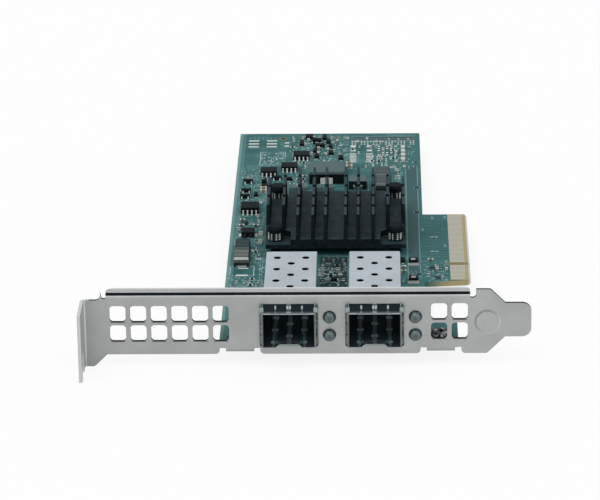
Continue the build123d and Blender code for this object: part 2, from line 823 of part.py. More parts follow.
def heat_sink():
    """An extruded comb of tapered fins, sawn across into pins, with four milled corners."""
    half = sink_width / 2
    centres = [side * offset for offset in fin_offsets for side in (-1, 1)]
    centres += [side * (half - fin_foot / 2) for side in (-1, 1)]
    pieces = [block(chip_x - half, chip_x + half, sink_front, sink_rear, sink_low, sink_floor)]
    for offset in centres:
        x = chip_x + offset
        section = Polyline(
            (x - fin_foot / 2, sink_floor),
            (x + fin_foot / 2, sink_floor),
            (x + fin_tip / 2, sink_top),
            (x - fin_tip / 2, sink_top),
            close=True,
        )
        pieces.append(through_y(make_face(section), sink_front, sink_rear))
    comb = fused(pieces)
    left, right = chip_x - sink_width, chip_x + sink_width
    cut_ends = [sink_front + i * row_pitch for i in range(1, cross_cuts + 1)]
    saw = [block(left, right, end - cross_cut_width, end, sink_floor, 2 * sink_top) for end in cut_ends]
    comb = comb.cut(*saw)
    corners = []
    sizes = ((pocket_width, pocket_length, sink_front), (rear_pocket_width, rear_pocket_length, sink_rear))
    for wide, long, y in sizes:
        pocket = Box(2 * wide, 2 * long, 2 * (sink_top - pocket_floor))
        pocket = fillet(pocket.edges().filter_by(Axis.Z), pocket_corner)
        corners += [Pos(chip_x + side * half, y, sink_top) * pocket for side in (-1, 1)]
    hole = pin_shaft_radius + pin_hole_clearance
    holes = [upright(hole, x, y, board_top, sink_floor) for x, y in push_pin_places]
    return comb.cut(*corners, *holes)


def push_pins():
    """Four plastic push pins: a flat head above its spring and a barbed tip below the board."""
    top = pin_head_low + pin_head_height
    barb_top = board_underside - pin_barb_gap
    barb_low = barb_top - pin_barb_length
    outline = Polyline(
        (0, barb_low),
        (pin_shaft_radius * 0.5, barb_low),
        (pin_barb_radius, barb_top - pin_barb_gap),
        (pin_barb_radius, barb_top),
        (pin_shaft_radius, barb_top),
        (pin_shaft_radius, pin_head_low),
        (pin_head_radius, pin_head_low),
        (pin_head_radius, top - pin_head_chamfer),
        (pin_head_radius - pin_head_chamfer, top),
        (0, top),
        close=True,
    )
    pin = revolve(Plane.XZ * make_face(outline), Axis.Z)
    return [Pos(x, y, 0) * pin for x, y in push_pin_places]


def push_pin_springs():
    """The coil springs between the heat sink's pockets and the heads of the push pins."""
    low = pocket_floor + spring_end_gap + spring_wire
    height = pin_head_low - spring_end_gap - spring_wire - low
    path = Helix(pitch=height / spring_turns, height=height, radius=spring_radius)
    coil = sweep(Plane(origin=path @ 0, z_dir=path % 0) * Circle(spring_wire), path=path, is_frenet=True)
    return [Pos(x, y, low) * coil for x, y in push_pin_places]


def gull_lead(half_body, reach, foot, rise, width):
    """One bent lead in front of a package, from the body's side wall down to its foot."""
    knee = half_body + reach - foot - lead_sheet
    end = half_body + reach
    outline = (
        (half_body, rise + lead_sheet),
        (knee + lead_sheet, rise + lead_sheet),
        (knee + lead_sheet, lead_sheet),
        (end, lead_sheet),
        (end, 0),
        (knee, 0),
        (knee, rise),
        (half_body, rise),
    )
    return along_x([(-y, z) for y, z in outline], -width / 2, width / 2)


def eight_lead_packages():
    """The eight-lead packages: three narrow ones and a wide one."""
    narrow = [on_board(place, eight_lead_body, body_lift) for place in eight_lead_places]
    return narrow + [on_board(wide_package_place, wide_package_body, body_lift)]


def eight_lead_leads():
    """All gull-wing leads of the eight-lead packages."""
    narrow = gull_lead(eight_lead_body[1] / 2, lead_reach, lead_foot, lead_exit_rise, lead_width)
    wide = gull_lead(wide_package_body[1] / 2, wide_lead_reach, lead_foot, wide_lead_exit_rise, lead_width)
    leads = []
    for (px, py), lead in [(place, narrow) for place in eight_lead_places] + [(wide_package_place, wide)]:
        place = Pos(board_left + px, parts_rear - py, board_top)
        for i in range(leads_per_side):
            offset = Pos((i - (leads_per_side - 1) / 2) * lead_pitch, 0, 0)
            leads += [place * Rot(0, 0, turn) * offset * lead for turn in (0, 180)]
    return leads


def three_lead_leads():
    """The leads of the small transistors: two in front and one behind."""
    lead = gull_lead(
        three_lead_body[1] / 2, three_lead_reach, three_lead_foot, three_lead_exit_rise, three_lead_width
    )
    leads = []
    for px, py in three_lead_places:
        place = Pos(board_left + px, parts_rear - py, board_top)
        leads += [place * Pos(side * three_lead_pitch, 0, 0) * lead for side in (-1, 1)]
        leads.append(place * Rot(0, 0, 180) * lead)
    return leads


def big_inductor_core():
    """The power inductor's dark core, with a window in front and behind where its ends come out."""
    x, y = board_left + big_inductor_place[0], parts_rear - big_inductor_place[1]
    wide, deep, tall = big_inductor_size
    core = on_board(big_inductor_place, (wide, deep, tall - big_inductor_cap))
    half = big_inductor_window / 2
    for side in (-1, 1):
        face = y + side * deep / 2
        core -= block(
            x - half,
            x + half,
            face - big_inductor_window_depth,
            face + big_inductor_window_depth,
            board_underside,
            board_top + big_inductor_window_height,
        )
    return core


def big_inductor_cap_plate():
    """The lighter plate bonded on top of the power inductor."""
    size = (big_inductor_size[0], big_inductor_size[1], big_inductor_cap)
    return on_board(big_inductor_place, size, big_inductor_size[2] - big_inductor_cap)


def big_inductor_terminals():
    """The power inductor's terminals, standing in its windows."""
    x, y = big_inductor_place
    reach = big_inductor_size[1] / 2 - big_terminal_size[1] / 2
    return [
        on_board((x + side * big_terminal_spread / 2, y + end * reach), big_terminal_size)
        for side in (-1, 1)
        for end in (-1, 1)
    ]


def small_terminals():
    """Terminals at the front and back of the two smaller inductors."""
    pieces = []
    terminal = (small_terminal_length, small_terminal_length, small_terminal_height)
    for place, size in ((small_inductor_place, small_inductor_size), (choke_place, choke_size)):
        reach = size[1] / 2 + small_terminal_length / 2
        for side in (-1, 1):
            for end in (-1, 1):
                spot = (place[0] + side * small_terminal_spread / 2, place[1] + end * reach)
                pieces.append(on_board(spot, terminal))
    return pieces


def tantalum_terminals():
    """Folded end terminals of the moulded capacitors: up the end wall, and a foot under the body."""
    sheet_in = tantalum_tab_sheet
    pieces = []
    for px, py in tantalum_places:
        for end in (-1, 1):
            outline = (
                (tantalum_size[1] / 2, 0),
                (tantalum_size[1] / 2 + sheet_in, 0),
                (tantalum_size[1] / 2 + sheet_in, tantalum_tab_height),
                (tantalum_size[1] / 2, tantalum_tab_height),
                (tantalum_size[1] / 2, sheet_in),
                (tantalum_size[1] / 2 - tantalum_foot, sheet_in),
                (tantalum_size[1] / 2 - tantalum_foot, 0),
            )
            section = [(end * y, z) for y, z in outline]
            tab = along_x(section, -tantalum_tab_width / 2, tantalum_tab_width / 2)
            pieces.append(Pos(board_left + px, parts_rear - py, board_top) * tab)
    return pieces


def tantalum_bodies():
    """The moulded bodies, with a tapered upper half, standing on their terminals' feet."""
    wide, deep, tall = tantalum_size
    pieces = []
    for place in tantalum_places:
        body = on_board(place, (wide, deep, tall - tantalum_tab_sheet), tantalum_tab_sheet)
        top = body.faces().sort_by(Axis.Z)[-1].edges()
        pieces.append(chamfer(top, tall * 0.3, tall * 0.06))
    return pieces


def chip_bodies(places, size, share):
    """Middle parts of chip components, between their metal ends."""
    wide, long, tall = size
    middle = long * (1 - 2 * share)
    along, across = (wide, middle, tall), (middle, wide, tall)
    return [on_board((x, y), along if along_y else across) for x, y, along_y in places]


def chip_ends(places, size, share):
    """The two metal ends of chip components."""
    wide, long, tall = size
    end = long * share
    reach = (long - end) / 2
    pieces = []
    for x, y, along_y in places:
        for side in (-1, 1):
            if along_y:
                pieces.append(on_board((x, y + side * reach), (wide, end, tall)))
            else:
                pieces.append(on_board((x + side * reach, y), (end, wide, tall)))
    return pieces


def black_part_bodies():
    """Small diodes and transistors with flat leads."""
    tall = black_part_height - body_lift
    return [on_board((x, y), (wide, deep, tall), body_lift) for x, y, wide, deep in black_parts]


def black_part_leads():
    """Flat leads under the ends of the small diodes and transistors."""
    return [
        on_board((x, y + side * deep / 2), (wide * 0.5, three_lead_foot * 2, body_lift))
        for x, y, wide, deep in black_parts
        for side in (-1, 1)
    ]


def filter_tabs():
    """The wide metal tabs in front of the port filters."""
    reach = (filter_size[1] + filter_tab_size[1]) / 2
    return [on_board((x, y + reach), filter_tab_size) for x, y in filter_places]


def beside_connector(places):
    """Places on the board for parts given from the connector's tip and its near side."""
    connector_from_rear = parts_rear - connector_start
    return [(card_height - x, connector_from_rear - y, along_y) for x, y, along_y in places]


def moved_to_datum(shape):
    """The shape in the card's own frame, with the origin at its datum."""
    return Pos(*(-value for value in datum)) * shape


def save(name, shapes):
    """Write one node's solids to its own file."""
    shapes = shapes if isinstance(shapes, list) else [shapes]
    solids = [solid for shape in shapes for solid in moved_to_datum(shape).solids()]
    export_step(Compound(children=solids), f"parts/{name}.step")


os.makedirs("parts", exist_ok=True)
save("bracket", bracket())
save("circuit_board", circuit_board())
save("edge_contacts", edge_contacts())
save("heat_sink", heat_sink())
save("thermal_pad", thermal_pad())
save("controller_chip", controller_chip())
save("push_pins", push_pins())
save("push_pin_springs", push_pin_springs())
save("bracket_screws", bracket_screws())
save("indicator_lenses", indicator_lenses())
for number, x in enumerate(port_centres, 1):
    save(f"cage_{number}_shell", cage_shell(x))
    save(f"cage_{number}_base", cage_base(x))
    save(f"cage_{number}_springs", cage_springs(x))
    save(f"port_{number}_connector", port_connector(x))
    save(f"port_{number}_contacts", port_contacts(x))
for number, x in enumerate(indicator_centres, 1):
    save(f"indicator_{number}_housing", indicator_housing(x))
save("eight_lead_packages", eight_lead_packages())
save("eight_lead_leads", eight_lead_leads())
save("three_lead_packages", [on_board(place, three_lead_body, body_lift) for place in three_lead_places])
save("three_lead_leads", three_lead_leads())
save("power_inductor_core", big_inductor_core())
save("power_inductor_cap", big_inductor_cap_plate())
save("power_inductor_terminals", big_inductor_terminals())
save("small_inductor", on_board(small_inductor_place, small_inductor_size))
save("filter_choke", on_board(choke_place, choke_size))
save("small_inductor_terminals", small_terminals())
save("moulded_capacitors", tantalum_bodies())
save("moulded_capacitor_terminals", tantalum_terminals())
save("port_filters", [on_board(place, filter_size) for place in filter_places])
large_bodies = chip_bodies(large_capacitors, large_capacitor_size, end_cap_share)
large_bodies += chip_bodies(power_capacitors, power_capacitor_size, end_cap_share)
large_ends = chip_ends(large_capacitors, large_capacitor_size, end_cap_share)
large_ends += chip_ends(power_capacitors, power_capacitor_size, end_cap_share)
save("large_chip_capacitors", large_bodies)
save("large_chip_capacitor_ends", large_ends)
capacitors = small_capacitors + tuple(beside_connector(edge_capacitors))
save("small_chip_capacitors", chip_bodies(capacitors, small_capacitor_size, end_cap_share))
save("small_chip_capacitor_ends", chip_ends(capacitors, small_capacitor_size, end_cap_share))
all_resistors = resistors + tuple(beside_connector(edge_resistors))
save("chip_resistors", chip_bodies(all_resistors, resistor_size, resistor_end_share))
save("chip_resistor_ends", chip_ends(all_resistors, resistor_size, resistor_end_share))
save("small_diodes", black_part_bodies())
save("small_diode_leads", black_part_leads() + filter_tabs())
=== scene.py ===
import math
import random

import bmesh
import bpy
from mathutils import Matrix, Vector


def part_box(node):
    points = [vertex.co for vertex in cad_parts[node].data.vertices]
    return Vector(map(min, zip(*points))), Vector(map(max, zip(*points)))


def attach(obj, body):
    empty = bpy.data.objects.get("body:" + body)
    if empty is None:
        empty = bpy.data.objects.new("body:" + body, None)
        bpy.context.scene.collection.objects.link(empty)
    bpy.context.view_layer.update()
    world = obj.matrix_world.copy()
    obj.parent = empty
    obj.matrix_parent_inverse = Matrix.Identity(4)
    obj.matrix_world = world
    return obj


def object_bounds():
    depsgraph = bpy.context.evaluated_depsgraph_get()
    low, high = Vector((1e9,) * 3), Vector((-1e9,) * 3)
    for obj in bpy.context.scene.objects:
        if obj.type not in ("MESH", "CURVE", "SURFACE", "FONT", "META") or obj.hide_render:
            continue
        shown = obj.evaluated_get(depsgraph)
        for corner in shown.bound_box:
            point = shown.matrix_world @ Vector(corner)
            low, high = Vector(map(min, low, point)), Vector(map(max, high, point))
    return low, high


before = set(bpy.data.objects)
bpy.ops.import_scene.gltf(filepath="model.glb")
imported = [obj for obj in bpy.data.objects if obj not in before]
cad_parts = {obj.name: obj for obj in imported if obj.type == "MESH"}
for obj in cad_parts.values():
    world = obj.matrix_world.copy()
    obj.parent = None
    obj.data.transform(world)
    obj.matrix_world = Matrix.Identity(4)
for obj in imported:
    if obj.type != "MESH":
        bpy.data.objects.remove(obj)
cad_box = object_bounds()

# Millimetres are counted along the bracket from its fold, back from its front face and up
# from the board's component side.
MM = 0.001
sheet = 0.86
board_gap = 1.10
far = 1000.0
board_low, board_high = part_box("circuit_board")
bracket_low, bracket_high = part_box("bracket")
lens_low, lens_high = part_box("indicator_lenses")
fold_x = bracket_low.x + sheet * MM
face_y = board_low.y - board_gap * MM
top_z = board_high.z


def point(x, y, z=0.0):
    """A place in metres, from millimetres along the bracket, back from its face and up from the board."""
    return Vector((fold_x + x * MM, face_y + y * MM, top_z + z * MM))


def measure(place):
    """The way back, from a place in metres to millimetres."""
    return (place.x - fold_x) / MM, (place.y - face_y) / MM, (place.z - top_z) / MM


_, board_front, _ = measure(board_low)
board_tip, board_rear, _ = measure(board_high)

# Materials
noise_low, noise_high = 0.3, 0.7
cool_gloss, plain_gloss = (0.75, 0.95, 1.0, 1.0), (1.0, 1.0, 1.0, 1.0)
plain_specular = 0.5
cage_fade = 25.0


def tinted(colour, share):
    """A colour made lighter or darker by a share of itself."""
    return tuple(min(1.0, c * (1.0 + share)) for c in colour)


class Nodes:
    """A node tree, with short ways to add and join its nodes."""

    def __init__(self, tree):
        self.tree = tree

    def add(self, kind, settings=None, **inputs):
        """A new node with its settings, and values or links for its inputs."""
        node = self.tree.nodes.new(kind)
        for key, value in (settings or {}).items():
            setattr(node, key, value)
        for key, value in inputs.items():
            self.feed(node.inputs[key.replace("_", " ")], value)
        return node

    def feed(self, socket, value):
        """Gives a socket a value, or the output of another node."""
        if isinstance(value, bpy.types.NodeSocket):
            self.tree.links.new(value, socket)
        else:
            socket.default_value = value

    def maths(self, operation, a, b=0.0):
        """The result of one calculation."""
        node = self.add("ShaderNodeMath", {"operation": operation})
        self.feed(node.inputs[0], a)
        self.feed(node.inputs[1], b)
        return node.outputs[0]

    def amount(self, factor, low, high, first, second):
        """A number that goes from first to second as the factor goes from low to high."""
        node = self.add(
            "ShaderNodeMapRange", Value=factor, From_Min=low, From_Max=high, To_Min=first, To_Max=second
        )
        return node.outputs[0]


class Recipe(Nodes):
    """A material of the object, made of nodes."""

    def __init__(self, name, colour, roughness, metallic=0.0, **constants):
        self.material = bpy.data.materials.new(name)
        self.material.use_nodes = True
        self.material.diffuse_color = (*colour, 1.0)
        super().__init__(self.material.node_tree)
        self.shader = self.tree.nodes["Principled BSDF"]
        self.set("Base Color", (*colour, 1.0))
        self.set("Roughness", roughness)
        self.set("Metallic", metallic)
        constants.setdefault("Specular_Tint", cool_gloss if metallic == 0.0 else plain_gloss)
        for socket, value in constants.items():
            self.set(socket.replace("_", " "), value)
        self.coordinates = self.add("ShaderNodeTexCoord").outputs["Object"]

    def set(self, socket, value):
        """Feeds one of the shader's own sockets."""
        self.feed(self.shader.inputs[socket], value)

    def noise(self, size, detail=3.0, stretch=(1.0, 1.0, 1.0)):
        """Noise whose blots are about the given size in millimetres, drawn out along an axis."""
        mapping = self.add("ShaderNodeMapping", Vector=self.coordinates, Scale=[1.0 / s for s in stretch])
        scale = 1.0 / (size * MM)
        node = self.add("ShaderNodeTexNoise", Vector=mapping.outputs[0], Scale=scale, Detail=detail)
        return node.outputs[0]

    def mix(self, factor, first, second, blend="MIX"):
        """Two colours mixed by a factor from 0 to 1."""
        node = self.add("ShaderNodeMix", {"data_type": "RGBA", "blend_type": blend})
        self.feed(node.inputs[0], factor)
        for socket, colour in ((node.inputs[6], first), (node.inputs[7], second)):
            self.feed(socket, (*colour, 1.0) if isinstance(colour, tuple) else colour)
        return node.outputs[2]

    def between(self, factor, low, high, first, second):
        """Two colours mixed as the factor goes from low to high."""
        return self.mix(self.amount(factor, low, high, 0.0, 1.0), first, second)

    def vary(self, noise, first, second):
        """A number that wanders from first to second with a noise."""
        return self.amount(noise, noise_low, noise_high, first, second)

    def blend(self, noise, first, second):
        """Two colours that wander into each other with a noise."""
        return self.between(noise, noise_low, noise_high, first, second)

    def axes(self):
        """The three coordinates of the place."""
        return self.add("ShaderNodeSeparateXYZ", Vector=self.coordinates).outputs

    def facing(self, axis):
        """How squarely the surface looks along an axis, from 0 to 1."""
        normal = self.add("ShaderNodeNewGeometry").outputs["True Normal"]
        return self.maths("ABSOLUTE", self.add("ShaderNodeSeparateXYZ", Vector=normal).outputs[axis])

    def inside(self, axis, low, high):
        """1 where one coordinate lies between two limits in metres, and 0 elsewhere."""
        coordinate = self.axes()[axis]
        above = self.maths("GREATER_THAN", coordinate, low)
        below = self.maths("LESS_THAN", coordinate, high)
        return self.maths("MULTIPLY", above, below)

    def within(self, axis, low, high):
        """The same between two limits in millimetres, counted as for a point."""
        return self.inside(axis, point(low, low, low)[axis], point(high, high, high)[axis])

    def about(self, axis, centre, half):
        """The same round a centre in metres, up to half a width in millimetres away."""
        return self.inside(axis, centre - half * MM, centre + half * MM)

    def area(self, x0, x1, y0, y1):
        """1 inside an area of the board given in millimetres, and 0 elsewhere."""
        return self.both(self.within(0, x0, x1), self.within(1, y0, y1))

    def outside(self, factor):
        """1 where a factor is 0, and 0 where it is 1."""
        return self.maths("SUBTRACT", 1.0, factor)

    def both(self, *factors):
        """The product of several factors."""
        result = factors[0]
        for factor in factors[1:]:
            result = self.maths("MULTIPLY", result, factor)
        return result

    def reach(self, a, b):
        """The distance that two parts at right angles make up."""
        squares = [self.maths("POWER", part, 2.0) for part in (a, b)]
        return self.maths("SQRT", self.maths("ADD", *squares))

    def bump(self, height, depth):
        """Makes the surface uneven by a height from 0 to 1, of a depth in millimetres."""
        node = self.add("ShaderNodeBump", Height=height, Distance=depth * MM, Strength=1.0)
        self.set("Normal", node.outputs[0])

    def uneven(self, noise, smooth, rough, depth):
        """Gloss and height that wander with a noise."""
        self.set("Roughness", self.vary(noise, smooth, rough))
        self.bump(noise, depth)

    def dull(self, where, loss):
        """No metal at some places, and less gloss there."""
        self.set("Metallic", self.outside(where))
        lost = self.maths("MULTIPLY", where, loss)
        self.set("Specular IOR Level", self.maths("SUBTRACT", plain_specular, lost))


def sheet_metal(name, colour, roughness, grain=(1.0, 1.0, 1.0)):
    """Plated sheet: cloudy colour, a fine drawn grain and uneven gloss. Also gives its shade."""
    cloud_size, grain_size, grain_share, depth = 9.0, 0.25, 0.25, 0.004
    recipe = Recipe(name, colour, roughness, metallic=1.0)
    cloud = recipe.noise(cloud_size, 2.0)
    fine = recipe.noise(grain_size, 4.0, grain)
    clouded = recipe.between(cloud, 0.35, 0.65, tinted(colour, -0.07), tinted(colour, 0.05))
    shade = recipe.mix(recipe.vary(fine, 0.0, grain_share), clouded, tinted(colour, -0.22))
    recipe.set("Base Color", shade)
    recipe.uneven(fine, roughness * 0.85, roughness * 1.2, depth)
    return recipe, shade


def vent_foot_shade(recipe):
    """The darkness of the painted shade on a narrow strip of the front face below each vent."""
    half_width, half_height, pitch_x, pitch_z, strip_height = 1.95, 2.30, 5.54, 5.56, 0.22
    vent_groups, rows, darkness, overlap, skin = ((9.09, 6, 3.29), (95.32, 2, 3.77)), 2, 0.75, 0.01, 0.05
    front = recipe.within(1, -1.0, skin)
    shaded_strips = 0.0
    for first_x, columns, first_z in vent_groups:
        start = first_x - half_width
        along = recipe.maths("SUBTRACT", recipe.axes()[0], point(start, 0).x)
        turns = recipe.maths("DIVIDE", along, pitch_x * MM)
        below_vent = recipe.maths("LESS_THAN", recipe.maths("FRACT", turns), 2 * half_width / pitch_x)
        span = recipe.within(0, start, first_x + (columns - 1) * pitch_x + half_width)
        for row in range(rows):
            foot = first_z - half_height + row * pitch_z
            strip = recipe.within(2, foot - strip_height, foot + overlap)
            shaded_strips = recipe.maths("ADD", shaded_strips, recipe.both(front, below_vent, span, strip))
    return recipe.maths("MULTIPLY", shaded_strips, darkness)


def pressed_ring(recipe):
    """Where the round line pressed into the bracket's head lies, and the painted shade and highlight across
    it, from dark to pale.
    """
    ring_x, ring_z, radius, half_line, depth = 108.30, 6.27, 3.30, 0.22, 0.2
    shaded, shining = (0.13, 0.145, 0.15), (0.66, 0.68, 0.70)
    middle = point(ring_x, 0, ring_z)
    aside = recipe.maths("SUBTRACT", recipe.axes()[0], middle.x)
    above = recipe.maths("SUBTRACT", recipe.axes()[2], middle.z)
    offset = recipe.maths("ABSOLUTE", recipe.maths("SUBTRACT", recipe.reach(aside, above), radius * MM))
    pressed = recipe.both(recipe.maths("LESS_THAN", offset, half_line * MM), recipe.within(1, -1.0, depth))
    # The ring is painted dark on one side and pale on the other, as painted shade and highlight.
    turned = recipe.maths("SUBTRACT", aside, above)
    return pressed, recipe.between(turned, -radius * MM, radius * MM, shaded, shining)


def sheared_edge(recipe):
    """1 on the cut faces of the bracket's sheet, but not of its tab and ears, and 0 elsewhere."""
    cut_front, cut_back, turned_away, past_bend, ear_top = 0.04, 0.98, 0.82, 1.5, -0.9
    ears = ((38.03, 45.57), (92.09, 99.63))
    edge = recipe.both(
        recipe.within(1, cut_front, cut_back),
        recipe.maths("LESS_THAN", recipe.facing(1), turned_away),
        recipe.inside(0, fold_x + past_bend * MM, bracket_high.x + MM),
    )
    below = recipe.inside(2, bracket_low.z - MM, point(0, 0, ear_top).z)
    for left, right in ears:
        edge = recipe.both(edge, recipe.outside(recipe.both(recipe.within(0, left, right), below)))
    return edge


def bracket_metal():
    """Satin nickel on steel with dark raw sheared edges, and painted light: a paler tab, a highlight on the
    flange's rim, shade below the vents and light and shade across the pressed ring.
    """
    left_end, right_end, whole = (0.402, 0.418, 0.413), (0.425, 0.440, 0.435), (1.0, 1.0, 1.0)
    raw_edge_and_shade, highlight, tab_highlight_gain = (0.006, 0.009, 0.011), (0.60, 0.62, 0.62), (1.45, 1.45, 1.45)
    tab_end, rim_front, rim_back, rim_low, ring_strength = 0.5, 3.4, 4.3, 14.3, 0.55
    recipe, shade = sheet_metal("bracket_metal", left_end, 0.42, grain=(6.0, 1.0, 1.0))
    across = recipe.amount(recipe.axes()[0], fold_x, bracket_high.x, 0.0, 1.0)
    lighter = recipe.mix(across, whole, tuple(b / a for a, b in zip(left_end, right_end)))
    plating_and_painted_light = recipe.mix(1.0, shade, lighter, "MULTIPLY")
    # Painted highlight: the tab is made paler.
    tab = recipe.inside(0, bracket_low.x - MM, fold_x + tab_end * MM)
    plating_and_painted_light = recipe.mix(tab, plating_and_painted_light, recipe.mix(1.0, shade, tab_highlight_gain, "MULTIPLY"))
    # Painted highlight along the flange's rim.
    rim_highlight = recipe.both(recipe.within(1, rim_front, rim_back), recipe.within(2, rim_low, far))
    plating_and_painted_light = recipe.mix(rim_highlight, plating_and_painted_light, highlight)
    pressed, ring_light_and_shade = pressed_ring(recipe)
    plating_and_painted_light = recipe.mix(recipe.maths("MULTIPLY", pressed, ring_strength), plating_and_painted_light, ring_light_and_shade)
    # Painted shade on a strip below each vent.
    plating_and_painted_light = recipe.mix(vent_foot_shade(recipe), plating_and_painted_light, raw_edge_and_shade)
    edge = sheared_edge(recipe)
    ragged = recipe.blend(recipe.noise(0.3), raw_edge_and_shade, tinted(raw_edge_and_shade, 0.8))
    recipe.set("Base Color", recipe.mix(edge, plating_and_painted_light, ragged))
    recipe.dull(edge, 0.5)
    return recipe.material


def cage_metal(number):
    """Bright plated sheet with painted light: shade inside, shade at the front of the roof but for one
    painted glint, lighter shade behind the notch and shade on the jambs.
    """
    low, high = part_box(f"cage_{number}_shell")
    colour, inner, dark = (0.42, 0.475, 0.52), (0.035, 0.042, 0.05), (0.016, 0.024, 0.027)
    notch_half_shade, jamb_shade = (0.24, 0.27, 0.275), (0.13, 0.15, 0.15)
    wall, mouth, jamb, skin = 0.15 * MM, 0.5 * MM, 0.3 * MM, 0.05 * MM
    half_front, half_split, half_notch = 5.0, 0.09, 1.4
    glint_front, glint_back, dark_back, notch_back = 0.7, 3.0, 4.2, 8.0
    middle = (low.x + high.x) / 2
    recipe, shade = sheet_metal(f"cage_{number}_metal", colour, 0.34, grain=(1.0, 8.0, 1.0))
    # Painted shade inside the cage.
    deep = recipe.both(
        recipe.inside(0, low.x + wall, high.x - wall),
        recipe.inside(1, low.y + mouth, high.y - wall),
        recipe.inside(2, low.z - wall, high.z - wall),
    )
    shade = recipe.mix(deep, shade, inner)
    # Painted shade at the front of the roof, but for a painted glint.
    roof = recipe.inside(2, high.z - skin, high.z + MM)
    before = recipe.inside(1, low.y - MM, face_y + dark_back * MM)
    glint = recipe.both(
        recipe.within(1, glint_front, glint_back), recipe.outside(recipe.about(0, middle, half_split))
    )
    shaded_roof_front = recipe.both(recipe.about(0, middle, half_front), before, roof, recipe.outside(glint))
    shade = recipe.mix(shaded_roof_front, shade, dark)
    # Painted shade, lighter than at the front, on the roof behind the notch.
    notch = recipe.both(recipe.about(0, middle, half_notch), recipe.within(1, dark_back, notch_back), roof)
    shade = recipe.mix(notch, shade, notch_half_shade)
    # Painted shade on the jambs at the mouth.
    jambs = recipe.both(recipe.inside(1, low.y - MM, low.y + jamb), recipe.inside(2, low.z, high.z - jamb))
    recipe.set("Base Color", recipe.mix(jambs, shade, jamb_shade))
    return recipe.material


def floor_light_stripes(recipe, shade, along, low, middle):
    """Three stripes of painted light along the cage's floor, with spots of painted light on them, that grow
    paler inwards.
    """
    stripe_light, deep_stripe_light, spot_gain = (0.05, 0.065, 0.08), (0.32, 0.40, 0.46), (2.2, 2.4, 2.3)
    offset, half_stripe, half_spot, spot_pitch, spot_limit = 3.95, 0.55, 0.88, 8.55, 0.8
    stripe_colour = recipe.between(along, low.y, low.y + cage_fade * MM, stripe_light, deep_stripe_light)
    spot_shade = recipe.mix(1.0, stripe_colour, spot_gain, "MULTIPLY")
    turned = recipe.maths("MULTIPLY", along, 2 * math.pi / (spot_pitch * MM))
    # Painted light: stripes and spots on the floor.
    for side in (-1, 0, 1):
        centre = middle + side * offset * MM
        shade = recipe.mix(recipe.about(0, centre, half_stripe), shade, stripe_colour)
        rows = recipe.maths("SINE", recipe.maths("ADD", turned, math.pi * (side == 0)))
        spotted = recipe.maths("GREATER_THAN", rows, spot_limit)
        shade = recipe.mix(recipe.both(recipe.about(0, centre, half_spot), spotted), shade, spot_shade)
    return shade


def base_metal(number):
    """The cage's floor: painted shade that grows paler inwards, painted light in stripes and two arcs, and a
    painted highlight on the tapered lip at the mouth.
    """
    low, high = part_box(f"cage_{number}_base")
    dull, deep_floor_light = (0.010, 0.014, 0.017), (0.05, 0.07, 0.085)
    lip_highlight, arc_highlight = (0.35, 0.39, 0.375), (0.10, 0.125, 0.13)
    lip_length, lip_front, lip_back = 1.5, 3.35, 2.5
    arc_radii, arc_line, arc_squash = (2.6, 3.9), 0.3, 1.6
    middle, lip_end = (low.x + high.x) / 2, low.y + lip_length * MM
    recipe = Recipe(f"cage_{number}_floor", dull, 0.5, Specular_IOR_Level=0.02)
    fine = recipe.noise(0.4)
    across, along, _ = recipe.axes()
    # Painted shade over the floor, paler deeper in.
    shade = recipe.between(along, low.y, low.y + cage_fade * MM, dull, deep_floor_light)
    shade = recipe.mix(recipe.vary(fine, 0.0, 0.3), shade, deep_floor_light)
    shade = floor_light_stripes(recipe, shade, along, low, middle)
    aside = recipe.maths("ABSOLUTE", recipe.maths("SUBTRACT", across, middle))
    behind = recipe.maths("SUBTRACT", along, lip_end)
    reach = recipe.reach(aside, recipe.maths("MULTIPLY", behind, arc_squash))
    # Painted highlight in two arcs.
    for radius in arc_radii:
        line = recipe.both(
            recipe.maths("GREATER_THAN", reach, radius * MM),
            recipe.maths("LESS_THAN", reach, (radius + arc_line) * MM),
            recipe.maths("GREATER_THAN", behind, 0.0),
        )
        shade = recipe.mix(line, shade, arc_highlight)
    # Painted highlight on the lip at the mouth.
    half_lip = recipe.amount(along, low.y, lip_end, lip_front * MM, lip_back * MM)
    mouth = recipe.both(recipe.maths("LESS_THAN", aside, half_lip), recipe.inside(1, low.y - MM, lip_end))
    recipe.set("Base Color", recipe.mix(mouth, shade, lip_highlight))
    recipe.uneven(fine, 0.42, 0.55, 0.004)
    return recipe.material


def spring_metal():
    """Thin spring sheet: grey sides, a painted dark reflection on the upper fingers and the tabs before them,
    and painted highlights at the tabs' corners.
    """
    grey, dark, highlight = (0.30, 0.32, 0.32), (0.011, 0.018, 0.021), (0.34, 0.37, 0.36)
    lowest, highest, tab_front, tab_back, finger_back, half_inner = 0.16, 4.0, -4.0, -1.70, 6.0, 6.7
    recipe, shade = sheet_metal("spring_metal", grey, 0.30)
    cage_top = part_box("cage_1_shell")[1].z
    above = recipe.inside(2, cage_top + lowest * MM, cage_top + highest * MM)
    # Painted dark reflection on the upper fingers.
    fingers = recipe.both(above, recipe.within(1, tab_back, finger_back))
    recipe.dull(fingers, 0.48)
    tabs = recipe.both(above, recipe.within(1, tab_front, tab_back))
    inner = 0.0
    for number in (1, 2):
        low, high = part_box(f"cage_{number}_springs")
        inner = recipe.maths("ADD", inner, recipe.about(0, (low.x + high.x) / 2, half_inner))
    # Painted dark reflection on the tabs, with painted highlights at their corners.
    tab_shade = recipe.mix(inner, highlight, tinted(dark, 0.9))
    recipe.set("Base Color", recipe.mix(tabs, recipe.mix(fingers, shade, dark), tab_shade))
    return recipe.material


def copper_cells(recipe):
    """A random number from 0 to 1 for each of many square cells of the board."""
    scale, randomness, turns = 300.0, 0.9, 7.0
    settings = {"distance": "CHEBYCHEV"}
    cells = recipe.add(
        "ShaderNodeTexVoronoi", settings, Vector=recipe.coordinates, Scale=scale, Randomness=randomness
    )
    return recipe.maths("FRACT", recipe.maths("MULTIPLY", cells.outputs[1], turns))


